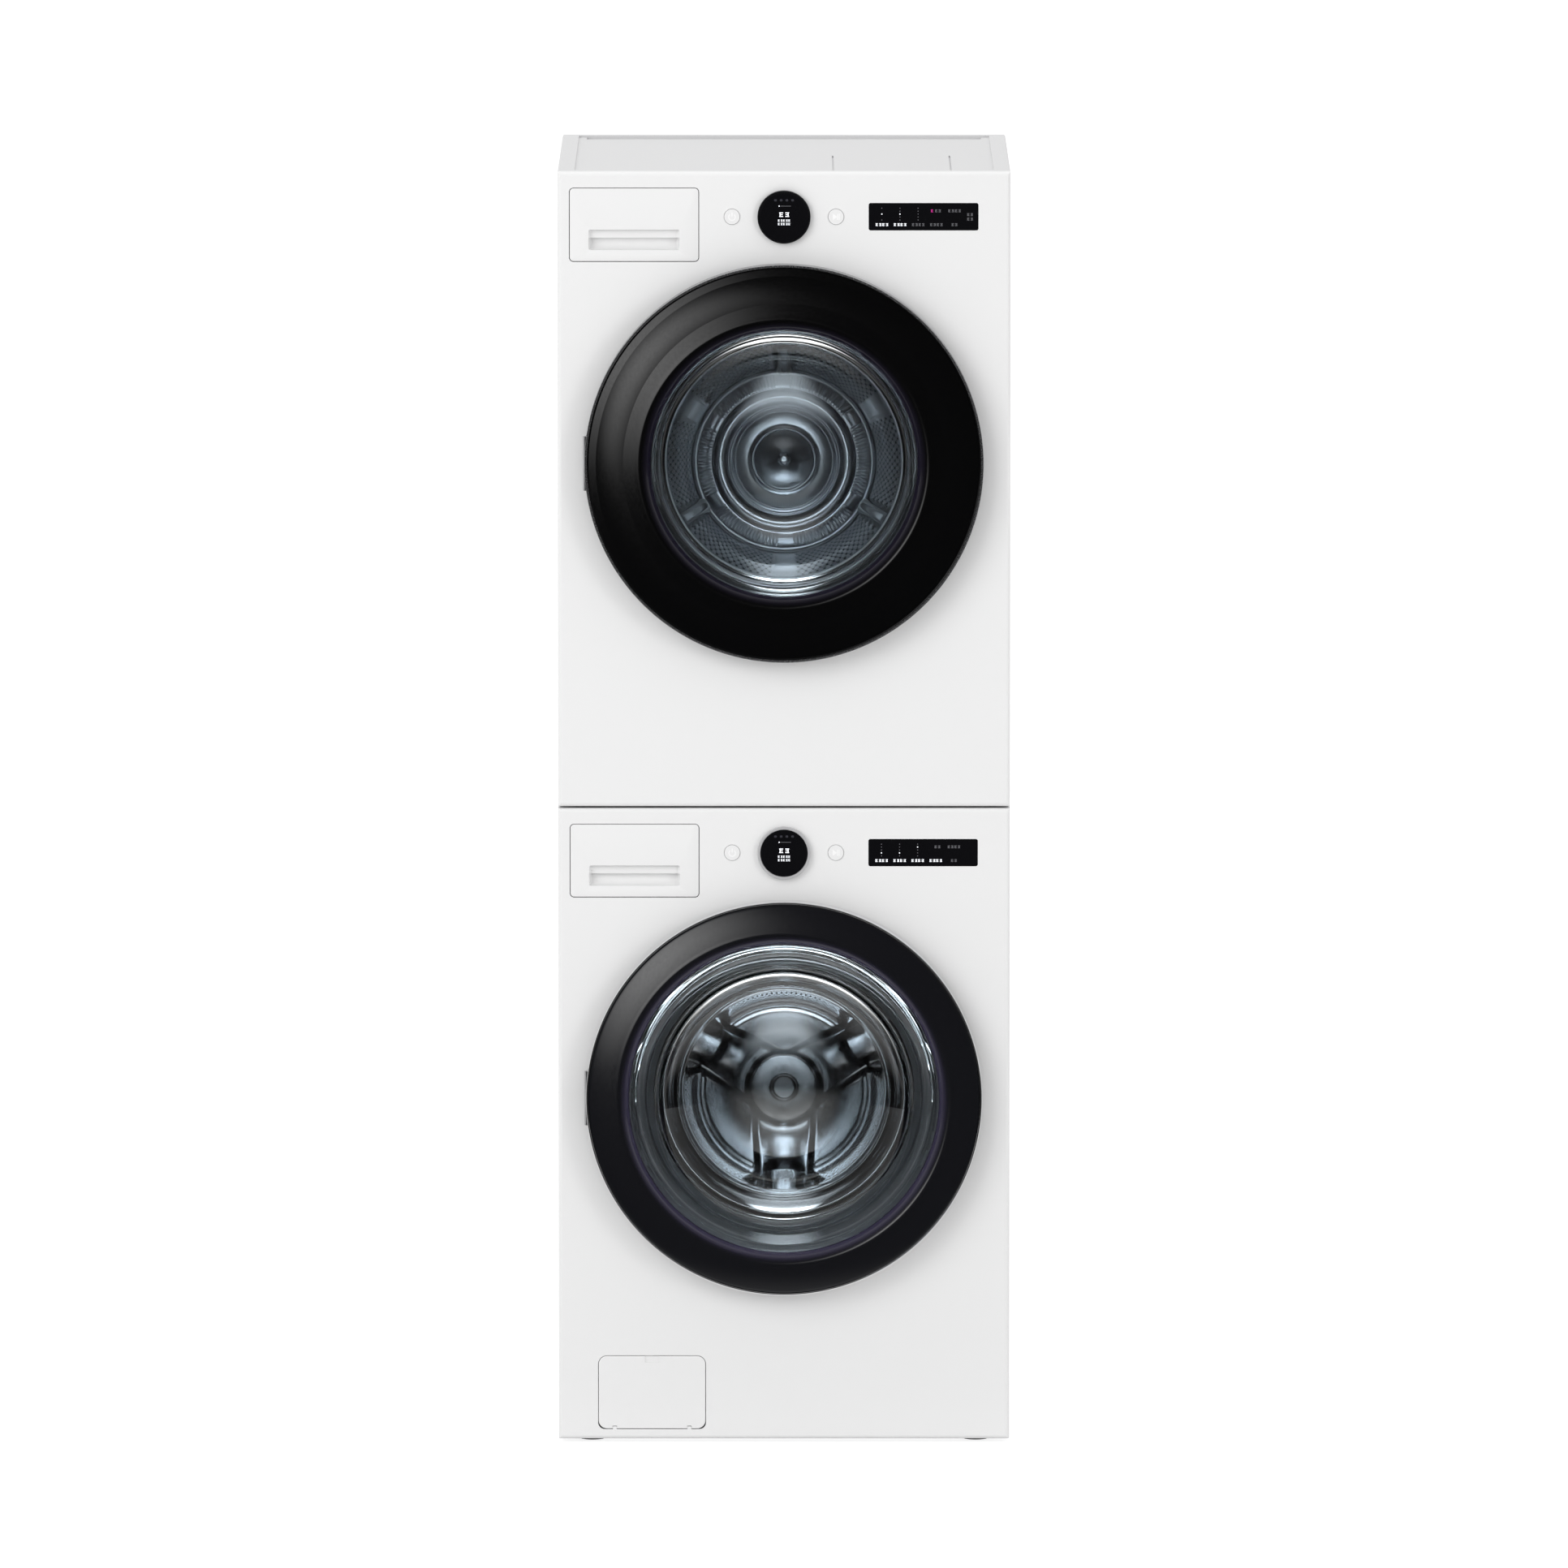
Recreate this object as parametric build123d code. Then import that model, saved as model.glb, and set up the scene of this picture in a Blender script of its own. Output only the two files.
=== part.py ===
from build123d import *
import os
from math import atan2, cos, pi, radians, sin, sqrt, tan

# Stacked front-loading washer and heat-pump dryer. Millimetres, +Z up, the doors face -Y.
# The origin is the middle of the footprint, on the floor.

# --- Whole stack -----------------------------------------------------------------------------
width = 700.0              # both cabinets
cabinet_depth = 760.0      # front face to rear sheet
washer_height = 986.0      # washer body above its feet
dryer_height = 985.0       # dryer body
foot_height = 6.0          # floor to the washer body
stack_gap = 3.0            # shadow gap between the two machines
rear_reach = 22.0          # rear spigots beyond the rear sheet
sheet = 1.0                # cabinet steel
panel_wall = 2.5           # moulded and enamelled front panels
panel_return = 24.0        # folded edge of the front panels
edge_radius = 6.0          # rounded front edges
air = 0.4                  # clearance between curved faces that move past each other
seam = 1.0                 # visible gap round drawers and covers

# --- Controls, measured down from a machine's top edge ----------------------------------------
control_drop = 69.0        # dial, buttons and display centre line
dial_radius = 41.0
dial_rim_dryer = 2.2       # width of the dryer dial's thin rim
dial_rim_washer = 4.2      # width of the washer dial's ring
dial_proud = 9.0           # dial ahead of the front panel
button_offset = 80.3       # either side of the dial
button_radius = 12.0
button_travel = 1.5
button_proud = button_travel + 0.3     # still ahead of the panel when pressed
display_width = 169.0
display_height = 42.0
display_centre_x = 215.5
display_radius = 3.0

# --- Drawer fronts ----------------------------------------------------------------------------
drawer_width = 199.0
drawer_height = 113.0
drawer_centre_x = -231.5
drawer_drop = 25.0         # machine's top edge to the drawer's top edge
drawer_radius = 6.0
drawer_wall = 3.0
drawer_skirt = 14.0        # depth of the drawer front's folded edge
pull_width = 142.0         # hand recess
pull_height = 32.0
pull_rise = 17.0           # drawer's bottom edge to the recess
pull_depth = 22.0
tray_length = 255.0        # detergent tray behind its front
tray_width = 178.0
tray_height = 78.0
tank_length = 330.0        # condensate tank behind its front
tank_width = 178.0
tank_height = 82.0
housing_wall = 2.0
housing_gap = 1.0          # round the tray and the tank

# --- Doors ------------------------------------------------------------------------------------
door_drop = 449.0          # machine's top edge to the door's centre
door_proud = 48.0          # crown of the door ring ahead of the front panel
door_gap = 4.0             # door's back to the front panel
washer_door_radius = 307.0
dryer_door_radius = 308.0
ring_width = 3.5           # bright rim round each door
washer_glass_radius = 240.0
dryer_glass_radius = 206.0
glass_wall = 5.0
door_opening_radius = 225.0
opening_flange = 16.0      # collar of the door opening
hinge_inset = 4.0          # hinge axis inside the door's left edge
hinge_stand_off = 24.0     # hinge axis ahead of the front panel
hinge_length = 84.0
hinge_pin_radius = 3.0
hinge_knuckle_radius = 6.5
running_gap = 0.08         # pin in its knuckle

# --- Washer inside ----------------------------------------------------------------------------
washer_lean = 5.2          # drum axis falls towards the rear
washer_drum_radius = 265.0
washer_drum_front = 95.0   # along the drum axis, from the front panel
washer_drum_depth = 425.0
drum_sheet = 1.2
washer_mouth_radius = 222.0
tub_radius = 300.0
tub_wall = 4.0
tub_front_gap = 15.0       # drum to the tub's front wall
tub_rear_gap = 26.0        # room for the spider
shaft_radius = 15.0
bearing_radius = 31.0
stator_radius = 128.0
rotor_radius = 146.0
motor_length = 44.0
tub_travel = 8.0           # how far the tub sinks or rises on its springs
gasket_cuff_radius = 218.0
mouth_air = 14.0           # left between seal and tub mouth at full travel
tub_mouth_radius = gasket_cuff_radius + tub_travel + mouth_air
lifter_count = 3
lifter_height = 58.0
washer_lifter_base = 130.0
lifter_wall = 2.5

# --- Dryer inside -----------------------------------------------------------------------------
dryer_lean = 4.8
dryer_drum_radius = 290.0
dryer_drum_front = 64.0
dryer_drum_depth = 520.0
dryer_lifter_height = 48.0
dryer_lifter_base = 78.0
dryer_lifter_turn = 180.0  # first lifter at the top, the washer's is at the bottom
belt_width = 11.0
belt_thickness = 3.0
belt_place = 300.0         # along the drum axis, from the front panel
pulley_radius = 11.0
pulley_x = 215.0
pulley_z = -330.0
motor_radius = 58.0
motor_body_length = 130.0
idler_radius = 24.0
stand_inset = 20.0         # motor's ends to its stand
stand_half = 30.0
roller_radius = 35.0
roller_angle = 32.0        # from straight below the drum's centre
roller_width = 22.0
axle_radius = 6.0

# --- Service parts ----------------------------------------------------------------------------
filter_cover_width = 166.0
filter_cover_height = 114.0
filter_cover_x = -205.0
filter_cover_rise = 16.0   # body's bottom edge to the cover
filter_cover_radius = 13.0
filter_cover_wall = 3.0
filter_cap_radius = 32.0
spigot_radius = 13.2       # three-quarter inch hose thread
drain_radius = 16.0
foot_radius = 20.0
foot_inset = 52.0
base_height = 38.0
base_wall = 2.0
rear_panel_wall = 1.0
screw_radius = 4.0

# --- Derived places ---------------------------------------------------------------------------
front = door_proud - (door_proud + cabinet_depth + rear_reach) / 2
rear = front + cabinet_depth
washer_bottom = foot_height
washer_top = washer_bottom + washer_height
dryer_bottom = washer_top + stack_gap
dryer_top_z = dryer_bottom + dryer_height
washer_door_z = washer_top - door_drop
dryer_door_z = dryer_top_z - door_drop
half_width = width / 2
inner_half = half_width - sheet
cabinet_front = front + panel_return


# --- Shapes that many pieces share ------------------------------------------------------------
def block(x, y, z):
    """Box between a low and a high value along each axis."""
    sizes = [span[1] - span[0] for span in (x, y, z)]
    middles = [(span[0] + span[1]) / 2 for span in (x, y, z)]
    return Pos(*middles) * Box(*sizes)


def rod(radius, y, x=0.0, z=0.0):
    """Cylinder along Y."""
    return Pos(x, (y[0] + y[1]) / 2, z) * Rot(90, 0, 0) * Cylinder(radius, y[1] - y[0])


def post(radius, z, x=0.0, y=0.0):
    """Upright cylinder."""
    return Pos(x, y, (z[0] + z[1]) / 2) * Cylinder(radius, z[1] - z[0])


def bar(radius, x, y=0.0, z=0.0):
    """Cylinder along X."""
    return Pos((x[0] + x[1]) / 2, y, z) * Rot(0, 90, 0) * Cylinder(radius, x[1] - x[0])


def tube(outer, inner, y, x=0.0, z=0.0):
    """Ring or sleeve along Y."""
    return rod(outer, y, x, z) - rod(inner, (y[0] - 1, y[1] + 1), x, z)


def plate(size, radius, y, x, z):
    """Upright rounded rectangle with a thickness along Y."""
    outline = Plane.XZ * RectangleRounded(size[0], size[1], radius)
    return Pos(x, y[0], z) * extrude(outline, amount=y[1] - y[0], dir=(0, 1, 0))


def turned(outline, z=0.0, x=0.0):
    """Solid of revolution about a Y axis from (radius, y) corners or edges."""
    edges = Polyline(*outline, close=True) if isinstance(outline[0], tuple) else outline
    return Pos(x, 0, z) * revolve(make_face(edges), Axis.Y)


def leaned(shape, angle, z):
    """Turn a drum-side shape about the door centre, rear end down."""
    return Pos(0, front, z) * Rot(-angle, 0, 0) * Pos(0, -front, -z) * shape


def group(*shapes):
    """Several solids that stay apart in one node."""
    solids = []
    for shape in shapes:
        solids += shape.solids()
    return Compound(children=solids)


def save(name, shape):
    export_step(shape, os.path.join("parts", name + ".step"))


# --- Cabinets, bases, tops and backs ------------------------------------------------------------
rear_rail_side = 45.0      # frame left round the service opening
rear_rail_top = 130.0
rear_rail_bottom = 60.0
top_thickness = 14.0
top_skin = 6.0
top_recess = 2.5
top_border = 26.0
top_strip_width = 622.0
top_strip_depth = 46.0
slot_places = (76.0, 258.0)
slot_length = 300.0
slot_width = 2.5
slot_start = 60.0
spring_set_in = 19.0       # springs hang this far inside the tub's widest line
spring_place = 330.0
spring_x = tub_radius + tub_wall - spring_set_in
spring_y = front + spring_place
spring_shelf = 3.0
spring_shelf_half = 16.0
spring_top = washer_top - 84.0
inlet_places = (100.0, 160.0)
inlet_drop = 74.0
drain_x = -160.0
gland_x = -250.0
gland_radius = 9.0
gland_proud = 14.0
fitting_gap = 1.5          # round what passes through the back


def cabinet(bottom, top, holes):
    """Two side sheets and a back frame of four rails, with holes (x, radius) in its top rail."""
    high = top - top_thickness
    window_x = half_width - rear_rail_side
    window_z = (bottom + rear_rail_bottom, top - rear_rail_top)
    back_y = (rear - sheet, rear)
    pieces = [block((-window_x, window_x), back_y, (bottom, window_z[0]))]
    for side in (-1, 1):
        side_x = sorted((side * inner_half, side * half_width))
        rail_x = sorted((side * window_x, side * inner_half))
        pieces.append(block(side_x, (cabinet_front, rear), (bottom, high)))
        pieces.append(block(rail_x, back_y, (bottom, high)))
    top_rail = block((-window_x, window_x), back_y, (window_z[1], high))
    for x, radius in holes:
        top_rail -= rod(radius, (rear - 2 * sheet, rear + sheet), x, top - inlet_drop)
    return pieces + [top_rail]


def washer_cabinet():
    holes = [(place, spigot_radius + fitting_gap) for place in inlet_places]
    holes += [(drain_x, drain_radius + fitting_gap), (gland_x, gland_radius)]
    pieces = cabinet(washer_bottom, washer_top, holes)
    shelf_y = (spring_y - spring_shelf_half, spring_y + spring_shelf_half)
    for side in (-1, 1):
        span = sorted((side * (spring_x - spring_shelf_half), side * inner_half))
        pieces.append(block(span, shelf_y, (spring_top, spring_top + spring_shelf)))
    return group(*pieces)


def dryer_cabinet():
    holes = [(drain_x, drain_radius / 2 + fitting_gap), (gland_x, gland_radius)]
    return group(*cabinet(dryer_bottom, dryer_top_z, holes))


def base_pan(bottom):
    outer = block((-inner_half, inner_half), (cabinet_front, rear - sheet), (bottom, bottom + base_height))
    hollow_x = inner_half - base_wall
    hollow_y = (cabinet_front + base_wall, rear - sheet - base_wall)
    return outer - block((-hollow_x, hollow_x), hollow_y, (bottom + base_wall, bottom + base_height + 1))


def top_plate(top):
    """Moulded top with a shallow recess and a deeper strip along the rear edge."""
    lid = block((-half_width, half_width), (cabinet_front, rear), (top - top_thickness, top))
    lid = fillet(lid.edges().filter_by(Axis.Y).sort_by(Axis.Z)[-2:], edge_radius - panel_wall)
    rim = panel_wall
    under_y = (cabinet_front + rim, rear - rim)
    lid -= block((rim - half_width, half_width - rim), under_y, (top - top_thickness - 1, top - top_skin))
    recess_x = half_width - top_border
    recess_y = (cabinet_front + top_border / 2, rear - top_border)
    lid -= block((-recess_x, recess_x), recess_y, (top - top_recess, top + 1))
    strip_y = (rear - top_border - top_strip_depth, rear - top_border)
    strip_x = top_strip_width / 2
    lid -= block((-strip_x, strip_x), strip_y, (top - 2 * top_recess, top + 1))
    return lid


def dryer_top():
    lid = top_plate(dryer_top_z)
    start = front + slot_start
    for place in slot_places:
        across = (place - slot_width / 2, place + slot_width / 2)
        lid -= block(across, (start, start + slot_length), (dryer_top_z - 2 * top_recess, dryer_top_z + 1))
    return lid


def rear_panel(bottom, top, louvres):
    """Screwed-on service cover with a shallow raised field and cooling louvres."""
    lap = 12.0
    louvre_pitch = 16.0
    louvre_height = 5.0
    louvre_half = 120.0
    half = half_width - rear_rail_side + lap
    low = bottom + rear_rail_bottom - lap
    high = top - rear_rail_top + lap
    cover = block((-half, half), (rear, rear + rear_panel_wall), (low, high))
    field = 4 * lap
    raised = block((field - half, half - field), (rear, rear + 5 * rear_panel_wall), (low + field, high - field))
    raised = fillet(raised.edges().filter_by(Axis.Y), field / 2)
    raised_hollow = block((field + rear_panel_wall - half, half - field - rear_panel_wall),
                          (rear - 1, rear + 4 * rear_panel_wall),
                          (low + field + rear_panel_wall, high - field - rear_panel_wall))
    raised_hollow = fillet(raised_hollow.edges().filter_by(Axis.Y), field / 2 - rear_panel_wall)
    cover = cover + raised - raised_hollow
    for index in range(louvres):
        height = low + 2 * field + index * louvre_pitch
        for side in (-1, 1):
            middle = side * (louvre_half + field / 2)
            across = (middle - louvre_half * 0.9, middle + louvre_half * 0.9)
            cover -= block(across, (rear - 1, rear + 6 * rear_panel_wall), (height, height + louvre_height))
    return cover


def washer_feet():
    """Levelling feet: a rubber pad and a threaded stem standing in the base pan."""
    stem_radius = 5.0
    stem_length = 26.0
    feet = []
    for x in (foot_inset - half_width, half_width - foot_inset):
        for y in (front + foot_inset, rear - foot_inset):
            foot = post(foot_radius, (0, washer_bottom), x, y)
            foot = fillet(foot.edges().filter_by(GeomType.CIRCLE).sort_by(Axis.Z)[:1], 1.5)
            foot += post(stem_radius, (washer_bottom - 1, washer_bottom + stem_length), x, y)
            feet.append(foot)
    return group(*feet)


def washer_base():
    pan = base_pan(washer_bottom)
    for x in (foot_inset - half_width, half_width - foot_inset):
        for y in (front + foot_inset, rear - foot_inset):
            pan -= post(5.2, (washer_bottom - 1, washer_bottom + base_wall + 1), x, y)
    return pan


# --- Stacking rails and rear brackets --------------------------------------------------------------
rail_width = 30.0
rail_inset = 26.0
bracket_wall = 2.0
bracket_width = 70.0
bracket_reach = 42.0       # over each machine


def stacking_hardware():
    pieces = []
    plate_y = (rear, rear + bracket_wall)
    head_y = (rear + bracket_wall, rear + bracket_wall + 2.6)
    for side in (-1, 1):
        outside = side * (half_width - rail_inset)
        rail_x = sorted((outside, outside - side * rail_width))
        rail_y = (cabinet_front + rail_inset, rear - rail_inset)
        pieces.append(block(rail_x, rail_y, (washer_top, dryer_bottom)))
        strap_x = sorted((outside, outside - side * bracket_width))
        strap_z = (washer_top - bracket_reach, dryer_bottom + bracket_reach)
        pieces.append(block(strap_x, plate_y, strap_z))
        for across in (0.25, 0.75):
            x = strap_x[0] + across * bracket_width
            for z in (washer_top - bracket_reach / 2, dryer_bottom + bracket_reach / 2):
                pieces.append(rod(screw_radius, head_y, x, z))
    return group(*pieces)


# --- Front panels --------------------------------------------------------------------------------
dial_hole_radius = 34.0
button_play = 0.5
display_play = 0.3
latch_x = 272.0
latch_slot = (12.0, 34.0)
cover_seam = 0.8
cover_swing_radius = 10.5  # wider lower corners of the cover's opening, so that it swings clear
tab_half = 3.0
tab_x = 58.0
tab_rise = 3.6
cover_pin_radius = 0.8


def drawer_centre_z(top):
    return top - drawer_drop - drawer_height / 2


def front_panel(bottom, top):
    """One seamless face with folded edges, from the controls down past the door."""
    panel = block((-half_width, half_width), (front, cabinet_front), (bottom, top))
    panel = fillet(panel.faces().sort_by(Axis.Y)[0].edges(), edge_radius)
    inside_x = half_width - panel_wall
    hollow = block((-inside_x, inside_x), (front + panel_wall, cabinet_front + 1),
                   (bottom + panel_wall, top - panel_wall))
    panel -= fillet(hollow.faces().sort_by(Axis.Y)[0].edges(), edge_radius - panel_wall)
    door_z = top - door_drop
    collar = (front + panel_wall / 2, front + opening_flange)
    panel += tube(door_opening_radius + panel_wall, door_opening_radius, collar, 0, door_z)
    through = (front - 1, front + panel_wall + 1)
    panel -= rod(door_opening_radius, through, 0, door_z)
    opening = (drawer_width + 2 * seam, drawer_height + 2 * seam)
    panel -= plate(opening, drawer_radius + seam, through, drawer_centre_x, drawer_centre_z(top))
    controls_z = top - control_drop
    panel -= rod(dial_hole_radius, through, 0, controls_z)
    for side in (-1, 1):
        panel -= rod(button_radius + button_play, through, side * button_offset, controls_z)
    window = (display_width + 2 * display_play, display_height + 2 * display_play)
    panel -= plate(window, display_radius + display_play, through, display_centre_x, controls_z)
    panel -= plate(latch_slot, 2.0, through, latch_x, door_z)
    return panel


def dryer_front_panel():
    """Same face; the opening's collar is cut away above the lint filter."""
    door_z = dryer_top_z - door_drop
    half = filter_pocket_half + 1
    collar = (front + panel_wall + 0.5, front + opening_flange + 1)
    gap = (door_z - door_opening_radius - panel_wall - 1, door_z - door_opening_radius * 0.85)
    return front_panel(dryer_bottom, dryer_top_z) - block((-half, half), collar, gap)


def washer_front_panel():
    panel = front_panel(washer_bottom, washer_top)
    low = washer_bottom + filter_cover_rise
    size = (filter_cover_width + 2 * cover_seam, filter_cover_height + 2 * cover_seam)
    middle_z = low + filter_cover_height / 2
    through = (front - 1, front + panel_wall + 1)
    panel -= plate(size, filter_cover_radius + cover_seam, through, filter_cover_x, middle_z)
    swing = (size[0], size[1] / 2)
    panel -= plate(swing, cover_swing_radius, through, filter_cover_x, middle_z - size[1] / 4)
    axis_y = front + filter_cover_wall / 2
    axis_z = low + filter_cover_wall / 2
    for side in (-1, 1):
        x = filter_cover_x + side * tab_x
        tab = block((x - tab_half, x + tab_half), (front + 0.3, front + panel_wall),
                    (low - 2 * cover_seam, low + tab_rise))
        panel += tab - bar(cover_pin_radius + running_gap, (x - 5, x + 5), axis_y, axis_z)
    return panel


# --- Dials, buttons and displays -----------------------------------------------------------------
dial_back_gap = 0.8        # ring to the front panel
dial_sleeve_radius = 33.0
dial_sleeve_wall = 2.0
dial_sleeve_length = 10.0
dial_web = 2.4
display_step = 0.6         # display disc ahead of its ring
display_carrier_radius = 46.0
display_carrier_y = 13.0
touch_lip = 4.0
touch_depth = 5.0
button_flange = 2.0


def dial_ring(top, rim):
    """Turning ring with a web and a sleeve that runs in the front panel."""
    z = top - control_drop
    face = front - dial_proud
    back = front - dial_back_gap
    ring = tube(dial_radius, dial_radius - rim, (face, back), 0, z)
    ring = chamfer(ring.edges().filter_by(GeomType.CIRCLE).sort_by(Axis.Y)[:2], 0.5)
    inner = dial_sleeve_radius - dial_sleeve_wall
    ring += tube(dial_radius - rim / 2, inner, (back - dial_web, back), 0, z)
    ring += tube(dial_sleeve_radius, inner, (back - dial_web, front + dial_sleeve_length), 0, z)
    return ring


def dial_display(top, rim):
    """Fixed display disc on a stem through the ring, on a carrier behind the panel."""
    z = top - control_drop
    stem = dial_sleeve_radius - dial_sleeve_wall - air
    back = front - dial_back_gap - dial_web - air
    disc = rod(dial_radius - rim - air, (front - dial_proud - display_step, back), 0, z)
    disc = fillet(disc.edges().filter_by(GeomType.CIRCLE).sort_by(Axis.Y)[:1], 1.2)
    disc += rod(stem, (back - 1, front + display_carrier_y), 0, z)
    carrier_back = front + display_carrier_y + panel_wall
    disc += rod(display_carrier_radius, (front + display_carrier_y - 1, carrier_back), 0, z)
    for turn in (90, 210, 330):
        reach = display_carrier_radius - 4
        x = reach * cos(radians(turn))
        disc += rod(3, (front + panel_wall, carrier_back), x, z + reach * sin(radians(turn)))
    return disc


def touch_panel(top):
    """Glass strip set in the front panel, with a lip behind it."""
    z = top - control_drop
    glass = plate((display_width, display_height), display_radius,
                  (front - 0.2, front + panel_wall + 0.5), display_centre_x, z)
    lip = plate((display_width + 2 * touch_lip, display_height + 2 * touch_lip), display_radius,
                (front + panel_wall, front + touch_depth), display_centre_x, z)
    return glass + lip


def display_windows():
    return group(dial_display(washer_top, dial_rim_washer), dial_display(dryer_top_z, dial_rim_dryer),
                 touch_panel(washer_top), touch_panel(dryer_top_z))


def push_button(top, side):
    """Round key with a flange behind the panel that stops it from coming out."""
    z = top - control_drop
    x = side * button_offset
    flange_y = front + panel_wall + 0.3
    key = rod(button_radius, (front - button_proud, flange_y + button_flange), x, z)
    key = fillet(key.edges().filter_by(GeomType.CIRCLE).sort_by(Axis.Y)[:1], 0.6)
    return key + rod(button_radius + 2.5, (flange_y, flange_y + button_flange), x, z)


# --- Drawer fronts, detergent tray, condensate tank -------------------------------------------------
drawer_back = front + pull_depth + housing_wall
tray_divider = 2.0
tank_hole_radius = 14.0
sleeve_wall = 2.0


def drawer_front(top):
    """Flush front with a folded edge and a sloped hand recess."""
    z = drawer_centre_z(top)
    face = plate((drawer_width, drawer_height), drawer_radius, (front, front + drawer_skirt),
                 drawer_centre_x, z)
    face = fillet(face.faces().sort_by(Axis.Y)[0].edges(), 0.8)
    inside = (drawer_width - 2 * drawer_wall, drawer_height - 2 * drawer_wall)
    face -= plate(inside, drawer_radius - drawer_wall / 2, (front + drawer_wall, front + drawer_skirt + 1),
                  drawer_centre_x, z)
    pull_low = z - drawer_height / 2 + pull_rise
    pull_x = (drawer_centre_x - pull_width / 2, drawer_centre_x + pull_width / 2)
    wall = housing_wall
    shell = block((pull_x[0] - wall, pull_x[1] + wall), (front + wall / 2, drawer_back),
                  (pull_low - wall, pull_low + pull_height + wall))
    slope = Polyline((front - 1, pull_low), (front - 1, pull_low + pull_height),
                     (front + pull_depth, pull_low + pull_height),
                     (front + pull_depth, pull_low + pull_height * 0.6), (front, pull_low), close=True)
    pocket = Plane.YZ * make_face(slope)
    pocket = Pos(pull_x[0], 0, 0) * extrude(pocket, amount=pull_width, dir=(1, 0, 0))
    return face + shell - pocket


def detergent_tray():
    """Open tray with two lengthwise dividers behind the washer's drawer front."""
    z = drawer_centre_z(washer_top)
    low = z - tray_height / 2
    x = (drawer_centre_x - tray_width / 2, drawer_centre_x + tray_width / 2)
    y = (drawer_back, drawer_back + tray_length)
    tray = block(x, y, (low, low + tray_height))
    tray = fillet(tray.edges().filter_by(Axis.Y).sort_by(Axis.Z)[:2], 6)
    third = (tray_width - 2 * housing_wall - 2 * tray_divider) / 3
    for index in range(3):
        start = x[0] + housing_wall + index * (third + tray_divider)
        tray -= block((start, start + third), (y[0] + housing_wall, y[1] - housing_wall),
                      (low + housing_wall + (4 if index else 0), low + tray_height + 1))
    return tray


def condensate_tank():
    """Closed tank with a filler hole on top behind the dryer's drawer front."""
    z = drawer_centre_z(dryer_top_z)
    x = (drawer_centre_x - tank_width / 2, drawer_centre_x + tank_width / 2)
    y = (drawer_back, drawer_back + tank_length)
    tank = block(x, y, (z - tank_height / 2, z + tank_height / 2))
    tank = fillet(tank.edges().filter_by(Axis.Y), 5)
    wall = housing_wall
    tank -= block((x[0] + wall, x[1] - wall), (y[0] + wall, y[1] - wall),
                  (z - tank_height / 2 + wall, z + tank_height / 2 - wall))
    hole_y = y[1] - 4 * tank_hole_radius
    return tank - post(tank_hole_radius, (z, z + tank_height), drawer_centre_x, hole_y)


def drawer_housing(top, size, length):
    """Sleeve behind the panel opening, stepped down to a channel that the drawer slides in."""
    z = drawer_centre_z(top)
    wide, high = size
    play = seam + 0.2
    step_y = drawer_back + housing_gap
    outer = (drawer_width + 2 * play + 2 * sleeve_wall, drawer_height + 2 * play + 2 * sleeve_wall)
    sleeve = plate(outer, drawer_radius + play + sleeve_wall, (front + panel_wall, step_y + sleeve_wall),
                   drawer_centre_x, z)
    inner = (drawer_width + 2 * play, drawer_height + 2 * play)
    sleeve -= plate(inner, drawer_radius + play, (front, step_y), drawer_centre_x, z)
    reach = drawer_back + length + 2 * housing_gap
    wall = housing_wall + housing_gap
    half_x = wide / 2 + wall
    half_z = high / 2 + wall
    channel = block((drawer_centre_x - half_x, drawer_centre_x + half_x), (step_y, reach + housing_wall),
                    (z - half_z, z + half_z))
    half_x -= housing_wall
    half_z -= housing_wall
    bore = block((drawer_centre_x - half_x, drawer_centre_x + half_x), (step_y - 1, reach),
                 (z - half_z, z + half_z))
    return sleeve + channel - bore


def drawer_housings():
    return group(drawer_housing(washer_top, (tray_width, tray_height), tray_length),
                 drawer_housing(dryer_top_z, (tank_width, tank_height), tank_length))


# --- Doors -----------------------------------------------------------------------------------------
crown = front - door_proud
ring_step = 8.0            # bright rim behind the crown
frame_wall = 3.0
frame_crest = 10.0         # lip to the highest line of the black frame
washer_lip = 12.0          # width of the hollow lip round the glass
dryer_lip = 26.0
lip_fall = 15.0            # crown to the glass edge
lip_start_fall = 1.6
glass_flange = 14.0
door_back = front - door_gap
back_wall = 3.0
clamp_width = 6.0
inner_gap = 3.0            # door's back ring to the glass
washer_waist_radius = 204.0    # bowl where it passes the front panel
washer_nose_radius = 176.0
washer_nose_depth = 82.0
washer_bowl_depth = 106.0
washer_bowl_corner = 26.0
dryer_waist_radius = 190.0
dryer_nose_radius = 156.0
dryer_nose_depth = 34.0
dryer_bowl_depth = 46.0
dryer_bowl_corner = 14.0
hinge_y = front - hinge_stand_off
knuckle_gap = 0.4
middle_knuckle = 13.0      # half length of the door's knuckle
arm_back = 2.0
arm_front = 6.0
leaf_reach = 44.0
leaf_half = 3.0
base_reach = 36.0
base_plate = 2.5
notch_air = 1.5
hook_tongue = 14.0
hook_half_width = 2.6
hook_half_height = 9.0
lock_depth = 26.0


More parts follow.
